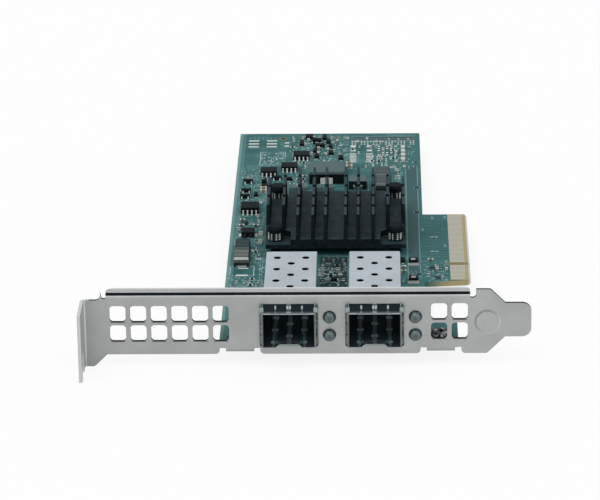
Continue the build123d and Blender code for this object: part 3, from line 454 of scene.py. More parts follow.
def cut_laminate(recipe, shade):
    """Bare woven laminate on the board's cut edges and tip, with lacquer over part of the slant."""
    lacquered, laminate, rim = (0.055, 0.145, 0.135), (0.46, 0.39, 0.21), (0.53, 0.555, 0.55)
    lacquer_full, lacquer_end, turned_away = 92.5, 98.5, 0.9
    slant_area, tip_area = (88.0, 101.0, 38.0, 50.0), (99.4, board_tip + 1.0, 45.9, board_rear)
    rim_area = (board_tip - 0.5, board_tip + 1.0, 44.0, board_rear)
    weave = recipe.blend(recipe.noise(0.25, 2.0, (1.0, 4.0, 1.0)), laminate, tinted(laminate, -0.3))
    behind_front = recipe.within(1, board_front + 0.3, board_rear + 1.0)
    cut = recipe.both(recipe.maths("LESS_THAN", recipe.facing(2), turned_away), behind_front)
    slant = recipe.area(*slant_area)
    fading = recipe.amount(recipe.axes()[0], point(lacquer_full, 0).x, point(lacquer_end, 0).x, 1.0, 0.0)
    shade = recipe.mix(recipe.both(cut, slant), shade, lacquered)
    bare_cut = recipe.both(cut, recipe.outside(recipe.both(slant, fading)))
    shade = recipe.mix(recipe.maths("MAXIMUM", recipe.area(*tip_area), bare_cut), shade, weave)
    return recipe.mix(recipe.area(*rim_area), shade, rim)


def solder_mask():
    """Lacquered board: copper under it shows as lighter teal, and laminate at its cut edges."""
    teal, light, dim = (0.041, 0.136, 0.138), (0.112, 0.245, 0.242), (0.020, 0.080, 0.086)
    band_colour, margin_colour = (0.048, 0.105, 0.112), (0.165, 0.305, 0.300)
    margin_end, near_end, busy_end, skin = 37.0, 38.1, 87.4, 0.1
    band_area = (87.7, 90.9, 47.0, 139.5)
    recipe = Recipe("board_mask", teal, 0.45, Specular_IOR_Level=0.022)
    fine, chance = recipe.noise(0.5, 4.0), copper_cells(recipe)
    shade = recipe.between(recipe.noise(14.0, 2.0), 0.35, 0.65, tinted(teal, -0.10), tinted(teal, 0.10))
    shade = recipe.mix(recipe.amount(fine, 0.35, 0.65, 0.0, 0.16), shade, light)
    component_side = recipe.inside(2, top_z - skin * MM, top_z + MM)
    busy = recipe.both(recipe.inside(0, board_low.x, point(busy_end, 0).x), component_side)
    pale_cells, dark_cells = ("GREATER_THAN", 0.84, 0.35, light), ("LESS_THAN", 0.22, 0.45, dim)
    for test, limit, strength, colour in (pale_cells, dark_cells):
        cells = recipe.both(recipe.maths(test, chance, limit), busy)
        shade = recipe.mix(recipe.maths("MULTIPLY", cells, strength), shade, colour)
    shade = recipe.mix(recipe.area(*band_area), shade, band_colour)
    near_margin = recipe.within(0, margin_end, near_end)
    shade = recipe.mix(recipe.maths("MULTIPLY", near_margin, 0.5), shade, light)
    margin = recipe.inside(0, board_low.x, point(margin_end, 0).x)
    shade = recipe.mix(recipe.maths("MULTIPLY", margin, 0.9), shade, margin_colour)
    recipe.set("Base Color", cut_laminate(recipe, shade))
    recipe.set("Roughness", recipe.vary(fine, 0.38, 0.52))
    recipe.bump(recipe.maths("ADD", chance, fine), 0.008)
    return recipe.material


def anodised():
    """Black anodised aluminium with faint saw marks, and a paler painted sheen on upward faces."""
    colour, top_sheen, upward = (0.009, 0.0135, 0.0160), (0.026, 0.044, 0.055), 0.9
    recipe = Recipe("sink_metal", colour, 0.5, Specular_IOR_Level=0.034)
    saw = recipe.noise(0.18, 3.0, (8.0, 1.0, 8.0))
    sides = recipe.blend(saw, tinted(colour, -0.3), tinted(colour, 0.5))
    tops = recipe.blend(saw, tinted(top_sheen, -0.15), tinted(top_sheen, 0.2))
    # Painted sheen: upward faces are paler.
    on_top = recipe.maths("GREATER_THAN", recipe.facing(2), upward)
    recipe.set("Base Color", recipe.mix(on_top, sides, tops))
    recipe.set("Roughness", recipe.vary(recipe.noise(2.0), 0.42, 0.58))
    recipe.bump(saw, 0.006)
    return recipe.material


def coat(name, colour, roughness, size, shares, glosses, depth, detail=3.0, **constants):
    """One colour with cloudy shade, uneven gloss and a fine bump, all from one noise."""
    recipe = Recipe(name, colour, roughness, **constants)
    fine = recipe.noise(size, detail)
    recipe.set("Base Color", recipe.blend(fine, *(tinted(colour, share) for share in shares)))
    recipe.uneven(fine, *(roughness * gloss for gloss in glosses), depth)
    return recipe.material


def lacquer(name, colour, roughness):
    """Print, pads and mouldings: a base colour with fine cloudy wear."""
    return coat(name, colour, roughness, 0.4, (-0.18, 0.18), (0.85, 1.15), 0.01, Specular_IOR_Level=0.05)


def bright_metal(name, colour, roughness):
    """Solder, tin and gold: soft gloss with fine pits."""
    return coat(name, colour, roughness, 0.15, (-0.16, 0.08), (0.7, 1.3), 0.006, 4.0, metallic=1.0)


def moulding(name, colour, roughness, size=0.12, specular=0.018):
    """Moulded compound or plastic with a matt texture."""
    return coat(name, colour, roughness, size, (-0.2, 0.25), (0.9, 1.1), 0.008, Specular_IOR_Level=specular)


def screw_metal():
    """Dark plated screws with bright patches of painted glint."""
    dark, painted_light_and_wear = (0.022, 0.028, 0.031), (0.55, 0.57, 0.57)
    recipe = Recipe("screw_metal", dark, 0.3, Specular_IOR_Level=0.05)
    patches = recipe.noise(1.1, 3.0)
    # Painted glints in bright patches.
    recipe.set("Base Color", recipe.between(patches, 0.52, 0.60, dark, painted_light_and_wear))
    recipe.uneven(patches, 0.25, 0.4, 0.01)
    return recipe.material


def lens_plastic():
    """Smoky clear moulding of the light guides, with a pale ring of painted highlight inside a dark rim of
    painted shade.
    """
    core, halo, rim, radius = (0.060, 0.095, 0.100), (0.135, 0.180, 0.185), (0.016, 0.027, 0.031), 1.65
    constants = {"IOR": 1.49, "Coat_Weight": 0.5, "Coat_Roughness": 0.05, "Transmission_Weight": 0.25}
    recipe = Recipe("lens", core, 0.16, **constants)
    nearest = []
    for axis in (0, 2):
        place = recipe.axes()[axis]
        centres = (lens_low[axis] + radius * MM, lens_high[axis] - radius * MM)
        near = [recipe.maths("ABSOLUTE", recipe.maths("SUBTRACT", place, centre)) for centre in centres]
        nearest.append(recipe.maths("MINIMUM", *near))
    reach = recipe.maths("DIVIDE", recipe.reach(*nearest), radius * MM)
    # Painted highlight ring and painted shade at the rim.
    shade = recipe.between(reach, 0.25, 0.55, core, halo)
    shade = recipe.between(reach, 0.62, 0.92, shade, rim)
    recipe.set("Base Color", recipe.mix(recipe.vary(recipe.noise(1.2, 2.0), 0.0, 0.3), shade, core))
    recipe.bump(recipe.noise(0.8, 1.0), 0.01)
    return recipe.material


def ceramic(name, colour, roughness, others=()):
    """Fired ceramic or tinned ends, with another colour in some areas of the board."""
    recipe = Recipe(name, colour, roughness, Specular_IOR_Level=0.05)
    cloud = recipe.noise(0.4)
    shade = recipe.blend(cloud, tinted(colour, -0.18), tinted(colour, 0.18))
    for area, other in others:
        shade = recipe.mix(recipe.area(*area), shade, other)
    recipe.set("Base Color", shade)
    recipe.set("Roughness", recipe.vary(recipe.noise(0.3), roughness * 0.85, roughness * 1.15))
    recipe.bump(cloud, 0.01)
    return recipe.material


def capacitor_moulding():
    """Moulded capacitors: grey tops in paler and darker bands, painted lighter than the dark walls as painted
    light, and a painted highlight on the front top edge.
    """
    wall, body_top = (0.014, 0.022, 0.025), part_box("moulded_capacitors")[1].z
    half_width, half_length, wave_length, strip_front, strip_back = 2.5, 3.9, 2.65, 3.75, 3.20
    edge_depth, face_depth, upward_limit, speck_limit = 0.55 * MM, 1.5 * MM, 0.7, 0.62
    recipe = Recipe("capacitor_moulding", wall, 0.5, Specular_IOR_Level=0.03)
    fine = recipe.noise(0.5)
    specks = recipe.maths("GREATER_THAN", recipe.noise(0.35, 1.0), speck_limit)
    waves = recipe.maths("SINE", recipe.maths("MULTIPLY", recipe.axes()[1], 2 * math.pi / (wave_length * MM)))
    upward = recipe.maths("GREATER_THAN", recipe.facing(2), upward_limit)
    near_top = recipe.inside(2, body_top - edge_depth, body_top + MM)
    below_top = recipe.inside(2, body_top - face_depth, body_top - edge_depth)
    shade = wall
    for x, y, top, band, edge, face in moulded_places:
        banded = recipe.mix(recipe.amount(waves, -0.5, 0.6, 0.0, 1.0), band, top)
        painted_light_and_wear = recipe.mix(recipe.amount(fine, 0.35, 0.65, 0.0, 0.4), banded, band)
        painted_light_and_wear = recipe.mix(recipe.maths("MULTIPLY", specks, 0.4), painted_light_and_wear, tinted(top, 0.5))
        # Upward faces take the lit top colour and the walls the dark, as painted light and shade; the front
        # top edge takes a painted highlight.
        sides = recipe.mix(below_top, wall, face)
        front_edge = recipe.both(recipe.within(1, y - strip_front, y - strip_back), near_top)
        own = recipe.mix(front_edge, recipe.mix(upward, sides, painted_light_and_wear), edge)
        here = recipe.area(x - half_width, x + half_width, y - half_length, y + half_length)
        shade = recipe.mix(here, shade, own)
    recipe.set("Base Color", shade)
    recipe.uneven(fine, 0.42, 0.6, 0.01)
    return recipe.material


def spring_wire():
    """Dark coiled wire with painted highlights in upright stripes."""
    dark, lit, outer = (0.014, 0.020, 0.023), (0.46, 0.49, 0.47), 2.11
    stripes = ((-1.9, 0.5), (-1.0, 0.3), (0.4, 0.4), (1.3, 0.5))
    recipe = Recipe("spring_wire", dark, 0.4, Specular_IOR_Level=0.05)
    low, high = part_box("push_pin_springs")
    fine = recipe.noise(0.2)
    shade = recipe.blend(fine, dark, tinted(dark, 0.8))
    # Painted highlights in upright stripes.
    for centre in (low.x + outer * MM, high.x - outer * MM):
        for offset, width in stripes:
            shade = recipe.mix(recipe.about(0, centre + offset * MM, width / 2), shade, lit)
    recipe.set("Base Color", shade)
    recipe.uneven(fine, 0.3, 0.5, 0.005)
    return recipe.material


slate, slate_band = (0.040, 0.060, 0.065), (0.025, 0.038, 0.042)
stone, stone_band = (0.17, 0.18, 0.165), (0.09, 0.10, 0.095)
ash, ash_band = (0.088, 0.108, 0.108), (0.055, 0.075, 0.078)
dim_edge_highlight, clear_edge_highlight = (0.19, 0.21, 0.21), (0.60, 0.63, 0.60)
# Each place: x, y, top colour, band colour, painted highlight of the front edge, colour below the top.
moulded_places = (
    (40.25, 59.95, stone, stone_band, clear_edge_highlight, (0.10, 0.11, 0.105)),
    (40.25, 67.90, slate, slate_band, (0.13, 0.15, 0.15), slate_band),
    (80.55, 120.05, ash, ash_band, dim_edge_highlight, slate_band),
    (80.55, 128.00, ash, ash_band, dim_edge_highlight, slate_band),
)
grey_teal = (0.085, 0.130, 0.130)
white_glaze = (0.62, 0.64, 0.62)
jet = (0.008, 0.012, 0.014)
power_area = (51.0, 68.0, 117.0, 122.0)
white_area = (84.0, 90.0, 140.0, 158.0)
gap_area = (62.5, 70.5, 41.5, 64.0)
choke_area = (39.0, 44.0, 78.0, 85.0)
filter_area = (86.9, 91.2, 42.0, 64.0)
tinned = bright_metal("tinned", (0.66, 0.68, 0.665), 0.38)
gold = bright_metal("gold", (0.70, 0.64, 0.55), 0.38)
black = moulding("black_moulding", (0.009, 0.012, 0.014), 0.55)
chip_black = moulding("chip_moulding", jet, 0.50, specular=0.02)
ferrite = moulding("inductor_core", jet, 0.5, 0.3)
ferrite_plate = moulding("inductor_cap", (0.098, 0.148, 0.152), 0.6, 0.3)
white_tin = lacquer("white_tin", (0.64, 0.67, 0.66), 0.45)
contact_plate = bright_metal("contact_plate", (0.47, 0.47, 0.42), 0.38)
silk = lacquer("board_print", (0.50, 0.60, 0.58), 0.7)
speck_mark = lacquer("speck_print", (0.32, 0.43, 0.425), 0.6)
ochre = lacquer("ring_plate", (0.30, 0.25, 0.13), 0.5)
lid_grey = lacquer("filter_lid", (0.38, 0.40, 0.38), 0.5)
faint_silk = lacquer("faint_print", (0.16, 0.30, 0.295), 0.6)
dark_mark = lacquer("dark_mark", (0.020, 0.045, 0.050), 0.6)
strip_mark = lacquer("strip_print", (0.095, 0.155, 0.165), 0.6)

looks = {
    "bracket": bracket_metal(),
    "circuit_board": solder_mask(),
    "edge_contacts": contact_plate,
    "heat_sink": anodised(),
    "thermal_pad": lacquer("thermal_pad", (0.36, 0.38, 0.40), 0.8),
    "controller_chip": chip_black,
    "push_pins": moulding("pin_plastic", jet, 0.4, specular=0.009),
    "push_pin_springs": spring_wire(),
    "bracket_screws": screw_metal(),
    "indicator_lenses": lens_plastic(),
    "power_inductor_core": ferrite,
    "power_inductor_cap": ferrite_plate,
    "small_inductor": moulding("small_inductor_body", (0.010, 0.015, 0.017), 0.5, 0.3),
    "filter_choke": ferrite,
    "port_filters": ferrite,
    "moulded_capacitors": capacitor_moulding(),
    "large_chip_capacitors": ceramic(
        "tan_ceramic",
        (0.22, 0.195, 0.155),
        0.5,
        ((power_area, grey_teal), (white_area, white_glaze), (gap_area, grey_teal)),
    ),
    "large_chip_capacitor_ends": ceramic(
        "large_ends",
        (0.50, 0.52, 0.50),
        0.45,
        ((power_area, tinted(grey_teal, 0.15)), (gap_area, (0.24, 0.29, 0.285))),
    ),
    "small_chip_capacitors": lacquer("small_ceramic", (0.130, 0.135, 0.120), 0.5),
    "power_inductor_terminals": white_tin,
    "eight_lead_leads": white_tin,
    "three_lead_leads": white_tin,
    "small_inductor_terminals": ceramic(
        "inductor_ends", (0.085, 0.105, 0.105), 0.45, ((choke_area, (0.03, 0.04, 0.042)),)
    ),
    "small_diode_leads": ceramic(
        "diode_leads", (0.55, 0.57, 0.56), 0.4, ((filter_area, (0.28, 0.295, 0.29)),)
    ),
    "chip_resistors": moulding("resistor_body", (0.014, 0.019, 0.022), 0.4),
}
collar = spring_metal()
for number in (1, 2):
    looks[f"cage_{number}_shell"] = cage_metal(number)
    looks[f"cage_{number}_base"] = base_metal(number)
    looks[f"cage_{number}_springs"] = collar
    looks[f"port_{number}_connector"] = looks[f"indicator_{number}_housing"] = black
    looks[f"port_{number}_contacts"] = gold
for name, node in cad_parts.items():
    default = tinned if name.endswith(("leads", "ends", "terminals")) else chip_black
    node.data.materials.clear()
    node.data.materials.append(looks.get(name, default))


# Print, pads and tracks on the board
class Layer:
    """Small flat shapes of one material, gathered into one piece."""

    def __init__(self, name, material, slot, low, high):
        self.name, self.material, self.slot = name, material, slot
        self.low, self.high = low, high
        self.mesh = bmesh.new()

    def prism(self, outline):
        """An upright prism on an outline of places in millimetres."""
        rings = [[self.mesh.verts.new(point(x, y, z)) for x, y in outline] for z in (self.low, self.high)]
        count = len(outline)
        self.mesh.faces.new(rings[0][::-1])
        self.mesh.faces.new(rings[1])
        for i in range(count):
            after = (i + 1) % count
            self.mesh.faces.new((rings[0][i], rings[0][after], rings[1][after], rings[1][i]))

    def bar(self, x, y, wide, long, turn=0.0):
        """A rectangle about its centre, turned by degrees."""
        c, s = math.cos(math.radians(turn)), math.sin(math.radians(turn))
        half_wide, half_long = wide / 2, long / 2
        corners = [(u * half_wide, v * half_long) for u, v in ((-1, -1), (1, -1), (1, 1), (-1, 1))]
        self.prism([(x + c * u - s * v, y + s * u + c * v) for u, v in corners])

    def disc(self, x, y, radius, sides=12):
        """A small round dot."""
        angles = [2 * math.pi * i / sides for i in range(sides)]
        self.prism([(x + radius * math.cos(a), y + radius * math.sin(a)) for a in angles])

    def ring(self, x, y, outer, inner, sides=20):
        """A flat ring, made of short bars side by side."""
        for i in range(sides):
            a, b = (2 * math.pi * (i + step) / sides for step in (0, 1))
            around = ((outer, a), (outer, b), (inner, b), (inner, a))
            self.prism([(x + r * math.cos(t), y + r * math.sin(t)) for r, t in around])

    def line(self, places, width):
        """A track of straight stretches through the places."""
        for (x0, y0), (x1, y1) in zip(places, places[1:]):
            length = math.hypot(x1 - x0, y1 - y0) + width
            turn = math.degrees(math.atan2(y1 - y0, x1 - x0))
            self.bar((x0 + x1) / 2, (y0 + y1) / 2, length, width, turn)

    def frame(self, x0, x1, y0, y1, width):
        """The outline of a rectangle."""
        self.line([(x0, y0), (x1, y0), (x1, y1), (x0, y1), (x0, y0)], width)

    def finish(self):
        """Puts the gathered shapes on the board."""
        data = bpy.data.meshes.new(self.name)
        bmesh.ops.recalc_face_normals(self.mesh, faces=self.mesh.faces)
        self.mesh.to_mesh(data)
        self.mesh.free()
        piece = bpy.data.objects.new(self.name, data)
        bpy.context.collection.objects.link(piece)
        data.materials.append(self.material)
        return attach(piece, "root")


small_words = ("capacitor", "resistor", "diode", "lead", "inductor", "choke", "filter", "pin", "packages")
taken = set()
for name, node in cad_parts.items():
    if any(word in name for word in small_words):
        for vertex in node.data.vertices:
            x, y, _ = measure(node.matrix_world @ vertex.co)
            taken.add((math.floor(x), math.floor(y)))


def is_free(x, y):
    """Whether no part of the CAD stands within a millimetre or so of a place."""
    column, row = math.floor(x), math.floor(y)
    return not any((column + i, row + j) in taken for i in (-1, 0, 1) for j in (-1, 0, 1))


def scatter(layer, area, count, widths, lengths, seed, step):
    """Marks at random places of an area, along or across the board, on a grid of a step."""
    chance = random.Random(seed)
    x0, x1, y0, y1 = area
    for _ in range(count):
        x, y = chance.uniform(x0, x1), chance.uniform(y0, y1)
        x, y = round(x / step) * step, round(y / step) * step
        size = (chance.uniform(*widths), chance.uniform(*lengths))
        layer.bar(x, y, *(size if chance.random() < 0.6 else size[::-1]))


ringed_holes = ((90.5, 142.8), (90.7, 120.8), (90.5, 99.7), (90.6, 50.3))


def board_pads():
    """Bare tinned pads that carry no part."""
    pads = Layer("board_pads", white_tin, "tinned", 0.0, 0.03)
    lands = [(x, y, 3.2, 0.95) for y in (157.8, 160.5, 163.3) for x in (40.6, 46.2)]
    lands += [(50.9, y, 1.4, 0.9) for y in (158.3, 161.3)]
    for x in (71.5, 76.5):
        lands += [(x, 157.8, 1.6, 1.8), (x, 154.0, 1.6, 1.4)]
        lands += [(x, 143.5 + 1.25 * row, 2.0, 0.6) for row in range(7)]
    lands += [
        (70.5, 141.4, 1.3, 1.0), (70.5, 138.2, 1.3, 1.0), (56.2, 131.8, 2.3, 0.7), (40.6, 50.0, 3.3, 1.1),
        (43.0, 69.3, 0.6, 1.7), (40.8, 55.4, 2.9, 0.7), (39.05, 81.6, 0.7, 2.4), (43.65, 81.6, 0.7, 2.4),
    ]
    header_rows = ((162.4, 0.75, 5), (160.9, 0.6, 2), (159.6, 0.5, 2))
    for i in range(21):
        lands += [(71.2 + 0.95 * i, y, 0.5, long) for y, long, gap in header_rows if i % 4 != gap]
    for row in range(5):
        columns = [column for column in range(5) if (row + 2 * column) % 5 != 1]
        lands += [(79.4 + 1.3 * column, 149.8 + 2.0 * row, 0.65, 0.9) for column in columns]
    for row in range(6):
        columns = [column for column in range(6) if (2 * row + column) % 5 != 3]
        places = [(77.6 + 1.35 * column, 138.6 + 1.9 * row) for column in columns]
        lands += [(x, y, 0.5, 0.75) for x, y in places if is_free(x, y)]
    for row in range(9):
        columns = [column for column in range(3) if (row + column) % 4]
        places = [(83.3 + 1.15 * column, 129.0 + 2.0 * row) for column in columns]
        lands += [(x, y, 0.45, 0.75) for x, y in places if is_free(x, y)]
    lands += [(62.6, y, 0.7, 0.6) for y in (50.0, 51.6, 53.2, 54.4)]
    lands += [(63.8, 53.5, 0.6, 0.8), (65.1, 53.5, 0.6, 0.8), (65.0, 46.5, 0.5, 1.6), (67.6, 46.5, 0.5, 1.6)]
    for land in lands:
        pads.bar(*land)
    return pads


def part_lids():
    """Pale square lids on the port filters."""
    lids = Layer("part_lids", lid_grey, "inductor_cap", 0.95, 0.98)
    for y in (46.05, 59.75):
        lids.bar(89.0, y, 1.25, 1.25)
    return lids


def small_inductor_plate():
    """The paler top of the small inductor."""
    border, thickness = 0.05, 0.05
    (left, front, _), (right, rear, top) = (measure(c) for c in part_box("small_inductor"))
    plate = Layer("small_inductor_plate", ferrite_plate, "inductor_cap", top, top + thickness)
    plate.bar((left + right) / 2, (front + rear) / 2, right - left - 2 * border, rear - front - 2 * border)
    return plate


def small_inductor_dots():
    """Two pale dots at mid height of the small inductor's front."""
    left, front, _ = measure(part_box("small_inductor")[0])
    dots = Layer("small_inductor_dots", speck_mark, "tinned", 1.0, 1.45)
    for offset in (1.6, 3.8):
        dots.bar(left + offset, front + 0.02, 0.55, 0.1)
    return dots


def board_print():
    """Bright legend print: outlines and short generic strokes, with no words."""
    legend = Layer("board_print", silk, "board", 0.0, 0.02)
    legend.line([(43.0, 140.8), (43.0, 152.8), (45.0, 152.8)], 0.2)
    legend.line([(48.6, 152.8), (50.6, 152.8), (50.6, 148.0)], 0.2)
    for y in (68.0, 79.5):
        for x, turn in ((94.3, 28.0), (94.8, -28.0), (95.6, 28.0), (96.1, -28.0)):
            legend.bar(x, y, 0.24, 0.9, turn)
    legend.frame(37.2, 43.9, 49.6, 57.0, 0.2)
    legend.bar(45.0, 62.8, 1.5, 0.9)
    legend.bar(86.4, 56.7, 1.2, 1.2)
    scatter(legend, (43.4, 50.2, 141.2, 152.2), 46, (0.16, 0.26), (0.5, 1.3), 50, 0.25)
    return legend


def plain_lines():
    """The two long lines beside the keep-out band, part outlines and faint frames."""
    lines = Layer("plain_lines", faint_silk, "board", 0.0, 0.02)
    for x in (87.55, 91.0):
        lines.line([(x, 46.5), (x, 139.5)], 0.26)
    outlines = (
        (57.6, 69.7, 122.8, 135.6), (69.6, 76.2, 117.8, 126.0), (77.6, 83.6, 115.4, 132.4),
        (73.0, 74.9, 143.0, 151.0), *((x - 0.85, x + 0.85, y - 1.15, y + 1.15) for x, y in ringed_holes),
    )
    for x0, x1, y0, y1 in outlines:
        lines.frame(x0, x1, y0, y1, 0.16)
    lines.line([(84.0, 167.6), (90.5, 167.6)], 0.25)
    for y in (163.45, 166.9):
        lines.line([(71.0, y), (90.5, y)], 0.2)
    for i in range(7):
        lines.bar(39.6 + 1.3 * i, 156.0, 0.7, 0.25)
        lines.bar(39.4 + 1.3 * i, 165.8, 0.5, 0.9)
    for x, y in ((62.9, 61.0), (64.1, 61.0), (65.3, 61.0), (66.9, 59.0)):
        lines.bar(x, y, 0.7, 0.35)
    return lines


def header_strip():
    """The paler strip of an empty header's footprint at the rear."""
    strip = Layer("header_strip", strip_mark, "board", 0.0, 0.01)
    strip.bar(80.75, 165.15, 19.5, 3.3)
    return strip


def faint_marks():
    """Fine print and small lands that blur into lighter specks."""
    marks = Layer("faint_marks", faint_silk, "board", 0.0, 0.015)
    strokes = (
        (43.4, 50.4, 140.8, 152.6, 70, 1), (36.6, 46.0, 106.0, 139.0, 210, 2),
        (36.6, 46.5, 76.0, 100.0, 120, 3), (37.0, 47.0, 30.0, 48.0, 100, 4),
        (52.0, 70.0, 136.0, 168.5, 300, 5), (76.0, 90.5, 138.0, 162.0, 90, 6),
        (52.0, 57.5, 123.0, 135.0, 30, 7), (84.0, 87.2, 126.0, 141.0, 26, 8),
        (92.0, 98.6, 44.5, 61.0, 60, 9), (85.8, 91.0, 42.0, 64.0, 24, 10),
        (62.6, 70.4, 8.0, 42.0, 90, 11), (42.5, 46.8, 58.0, 80.0, 50, 13), (62.6, 70.4, 42.0, 56.8, 110, 14),
    )
    for x0, x1, y0, y1, count, seed in strokes:
        scatter(marks, (x0, x1, y0, y1), count, (0.16, 0.35), (0.6, 1.7), seed, 0.25)
    for x, y in ((98.7, 95.5), (95.0, 95.0), (92.0, 85.5), (98.3, 72.5), (98.4, 60.0), (98.4, 55.0)):
        marks.bar(x, y, 0.7, 2.0)
    return marks


def white_specks():
    """Small lands and part marks that catch the light among the parts."""
    specks = Layer("white_specks", speck_mark, "board", 0.0, 0.025)
    areas = (
        (53.0, 70.0, 140.0, 167.0, 150, 21), (85.6, 90.0, 136.0, 158.0, 36, 22),
        (37.0, 46.0, 108.0, 136.0, 50, 23), (37.0, 46.5, 76.0, 98.0, 36, 24),
        (45.1, 46.5, 50.0, 60.0, 12, 30), (62.8, 70.2, 42.0, 56.5, 64, 31), (37.0, 46.5, 41.0, 48.5, 30, 32),
        (52.0, 58.0, 122.0, 134.0, 14, 25), (85.6, 90.5, 44.0, 62.0, 8, 26),
        (92.5, 98.0, 46.0, 58.0, 14, 27), (42.6, 46.6, 59.0, 80.0, 14, 29),
    )
    for x0, x1, y0, y1, count, seed in areas:
        scatter(specks, (x0, x1, y0, y1), count, (0.3, 0.5), (0.5, 0.8), seed, 0.5)
    return specks


def tiny_parts():
    """The smallest chip parts, as dark bodies with bright ends, wherever the board is free."""
    height, body_size, end_length, jitter = 0.35, (0.55, 0.7), 0.3, 0.35
    bodies = Layer("tiny_part_bodies", looks["chip_resistors"], "resistor_body", 0.0, height)
    ends = Layer("tiny_part_ends", white_tin, "tinned", 0.0, height)
    chance = random.Random(60)
    areas = (
        (52.0, 66.0, 137.0, 167.5, 1.9, 2.3, 0.62), (66.0, 86.5, 137.5, 160.0, 2.1, 2.6, 0.34),
        (36.9, 39.0, 62.0, 138.0, 1.5, 2.3, 0.30), (39.0, 46.2, 106.0, 138.0, 1.9, 2.5, 0.30),
        (37.0, 46.5, 41.0, 48.5, 1.8, 2.3, 0.50), (43.2, 46.4, 58.0, 100.0, 1.6, 2.2, 0.42),
        (62.6, 70.4, 41.5, 57.0, 1.6, 1.9, 0.80), (52.2, 57.8, 122.5, 136.0, 1.8, 2.3, 0.5),
        (92.6, 98.0, 45.0, 60.5, 2.0, 2.5, 0.40), (84.2, 87.0, 118.0, 140.0, 1.6, 2.4, 0.45),
    )
    for x0, x1, y0, y1, pitch_x, pitch_y, share in areas:
        for column in range(int((x1 - x0) / pitch_x)):
            for row in range(int((y1 - y0) / pitch_y)):
                x = x0 + (column + 0.5) * pitch_x + chance.uniform(-jitter, jitter)
                y = y0 + (row + 0.5) * pitch_y + chance.uniform(-jitter, jitter)
                turn = 0.0 if chance.random() < 0.65 else 90.0
                if chance.random() > share or not is_free(x, y):
                    continue
                wide, long = body_size
                reach = (long + end_length) / 2
                step = (0.0, reach) if turn == 0.0 else (reach, 0.0)
                bodies.bar(x, y, wide, long, turn)
                for side in (-1, 1):
                    ends.bar(x + side * step[0], y + side * step[1], wide, end_length, turn)
    bodies.bar(40.5, 91.0, 1.0, 2.0)
    return bodies, ends


def tracks():
    """Copper tracks under the lacquer, in parallel bundles with slanted turns."""
    copper = Layer("board_tracks", faint_silk, "board", 0.0, 0.008)
    routes = (
        ([(45.9, 45.0, 0.0), (45.9, 63.0, 0.0)], 2, 0.6),
        ([(42.0, 128.0, 0.0), (45.0, 136.0, 0.3), (45.0, 139.0, 0.0)], 3, 0.6),
        ([(66.0, 135.5, 0.0), (66.0, 141.0, 0.2), (71.0, 148.0, 0.2), (71.0, 156.0, 0.0)], 3, 0.6),
        ([(85.5, 120.0, 0.0), (85.5, 138.0, 0.0)], 3, 0.6),
        ([(52.4, 104.5, 0.0), (52.4, 124.0, 0.0)], 4, 0.7),
        ([(62.0, 104.5, 0.0), (62.0, 123.0, 0.0)], 5, 0.7),
        ([(75.0, 104.5, 0.0), (75.0, 117.0, 0.0)], 4, 0.7),
    )
    for places, count, pitch in routes:
        for i in range(count):
            shift = (i - (count - 1) / 2) * pitch
            copper.line([(x + shift, y + shift * bend) for x, y, bend in places], 0.16)
    return copper


def dark_tracks():
    """Finer buried tracks that run from the edge contacts into the board."""
    copper = Layer("dark_tracks", dark_mark, "board", 0.0, 0.006)
    bends = ((99.0, 0.0), (97.0, 0.0), (95.6, 0.5), (94.2, 1.0), (92.6, 1.1), (91.4, 1.7))
    for i in range(16):
        start, away = 62.5 + 1.95 * i, 0.9 * math.sin(0.9 * i)
        copper.line([(x, start + share * away) for x, share in bends], 0.24)
    for i in range(4):
        copper.line([(99.0, 49.5 + 2.0 * i), (96.0, 49.5 + 2.0 * i), (92.4, 47.6 + 2.2 * i)], 0.22)
    return copper


def dark_prints():
    """Dark footprints: the header strip's bands, shaded lands and ringed holes, and painted shade between the
    cages.
    """
    dark = Layer("dark_prints", dark_mark, "board", 0.0, 0.022)
    for y in (164.3, 165.9):
        dark.bar(80.75, y, 18.6, 0.55)
    for x, y in ringed_holes:
        dark.bar(x, y, 1.2, 1.8)
    for x, y, wide, long in ((94.3, 55.3, 1.5, 2.5), (95.7, 47.5, 1.6, 2.2)):
        dark.bar(x, y, wide, long)
    dark.disc(49.6, 165.2, 0.8)
    # Painted shade: a dark patch on the board between the cages.
    dark.bar(66.45, 52.5, 7.7, 22.5)
    return dark


def gold_rings():
    """Plated rings round tooling and test holes."""
    rings = Layer("gold_rings", ochre, "gold", 0.0, 0.03)
    rings.ring(49.6, 165.2, 1.25, 0.95)
    rings.ring(66.2, 166.5, 1.0, 0.75)
    return rings


def via_dots():
    """Lands of vias."""
    dots = Layer("via_dots", speck_mark, "board", 0.0, 0.02)
    chance = random.Random(40)
    for x0, x1, y0, y1, count in ((37.0, 46.0, 30.0, 135.0, 60), (52.0, 87.0, 105.0, 166.0, 120)):
        for _ in range(count):
            dots.disc(chance.uniform(x0, x1), chance.uniform(y0, y1), 0.15, 8)
    return dots


layers = [board_pads(), part_lids(), small_inductor_plate(), small_inductor_dots(), board_print()]
layers += [plain_lines(), header_strip(), faint_marks(), white_specks(), *tiny_parts(), tracks()]
layers += [dark_tracks(), dark_prints(), gold_rings(), via_dots()]
for layer in layers:
    layer.finish()


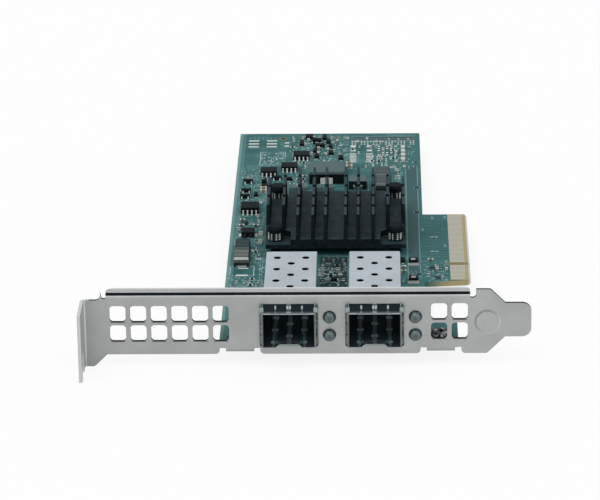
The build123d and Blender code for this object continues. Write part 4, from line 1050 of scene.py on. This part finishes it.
# Studio
def floor():
    """A plain pale floor that keeps a soft shadow and is white to the camera."""
    pale, size, share = (0.95, 0.95, 0.95), 12.0, 0.87
    recipe = Recipe("floor", pale, 0.9, Specular_IOR_Level=0.0)
    glow = recipe.add("ShaderNodeEmission", Strength=1.0)
    seen = recipe.add("ShaderNodeLightPath").outputs["Is Camera Ray"]
    blend = recipe.add("ShaderNodeMixShader")
    parts = (recipe.maths("MULTIPLY", seen, share), recipe.shader.outputs[0], glow.outputs[0])
    for socket, part in zip(blend.inputs, parts):
        recipe.feed(socket, part)
    recipe.feed(recipe.tree.nodes["Material Output"].inputs[0], blend.outputs[0])
    bpy.ops.mesh.primitive_plane_add(size=size, location=(0.0, 0.0, cad_box[0].z))
    plane = bpy.context.object
    plane.name = "floor"
    plane.data.materials.append(recipe.material)


def sky(level):
    """White to the camera and in reflections, and a plain even light elsewhere."""
    world = bpy.data.worlds.new("studio")
    bpy.context.scene.world = world
    world.use_nodes = True
    nodes = Nodes(world.node_tree)
    background = nodes.tree.nodes["Background"]
    background.inputs["Color"].default_value = (1.0, 1.0, 1.0, 1.0)
    rays = nodes.add("ShaderNodeLightPath").outputs
    white = rays["Is Camera Ray"]
    for name in ("Is Glossy Ray", "Is Transmission Ray"):
        white = nodes.maths("MAXIMUM", white, rays[name])
    nodes.feed(background.inputs["Strength"], nodes.amount(white, 0.0, 1.0, level, 1.0))


def lamp(name, azimuth, elevation, strength, spread):
    """A broad soft sun from a direction in degrees, azimuth 0 being in front."""
    data = bpy.data.lights.new(name, "SUN")
    data.energy = strength
    data.angle = math.radians(spread)
    lamp_object = bpy.data.objects.new(name, data)
    bpy.context.collection.objects.link(lamp_object)
    a, e = math.radians(azimuth), math.radians(elevation)
    source = Vector((math.sin(a) * math.cos(e), -math.cos(a) * math.cos(e), math.sin(e)))
    lamp_object.rotation_euler = source.to_track_quat("Z", "Y").to_euler()


def camera():
    """The photograph's viewpoint: position in millimetres, heading, downward tilt and roll in degrees."""
    sensor_width, focal_length, nearest, farthest = 36.0, 212.95, 0.05, 50.0
    station = Vector((-25.90, -937.74, 370.67)) * MM
    heading, tilt, roll = (math.radians(v) for v in (1.358, 21.289, -0.745))
    level = Vector((math.cos(heading), math.sin(heading), 0.0))
    ahead, down = math.cos(tilt), -math.sin(tilt)
    forward = Vector((-math.sin(heading) * ahead, math.cos(heading) * ahead, down))
    upward = level.cross(forward)
    right = level * math.cos(roll) + upward * math.sin(roll)
    above = upward * math.cos(roll) - level * math.sin(roll)
    turn = Matrix((right, above, -forward)).transposed().to_4x4()
    data = bpy.data.cameras.new("camera")
    data.sensor_fit = "HORIZONTAL"
    data.sensor_width = sensor_width
    data.lens = focal_length
    data.clip_start, data.clip_end = nearest, farthest
    eye = bpy.data.objects.new("camera", data)
    bpy.context.collection.objects.link(eye)
    eye.matrix_world = Matrix.Translation(station) @ turn
    bpy.context.scene.camera = eye


floor()
sky(0.62)
lamp("key", -35.0, 58.0, 0.95, 40.0)
lamp("fill", 50.0, 40.0, 0.45, 60.0)
camera()
bpy.context.scene.view_settings.view_transform = "Standard"
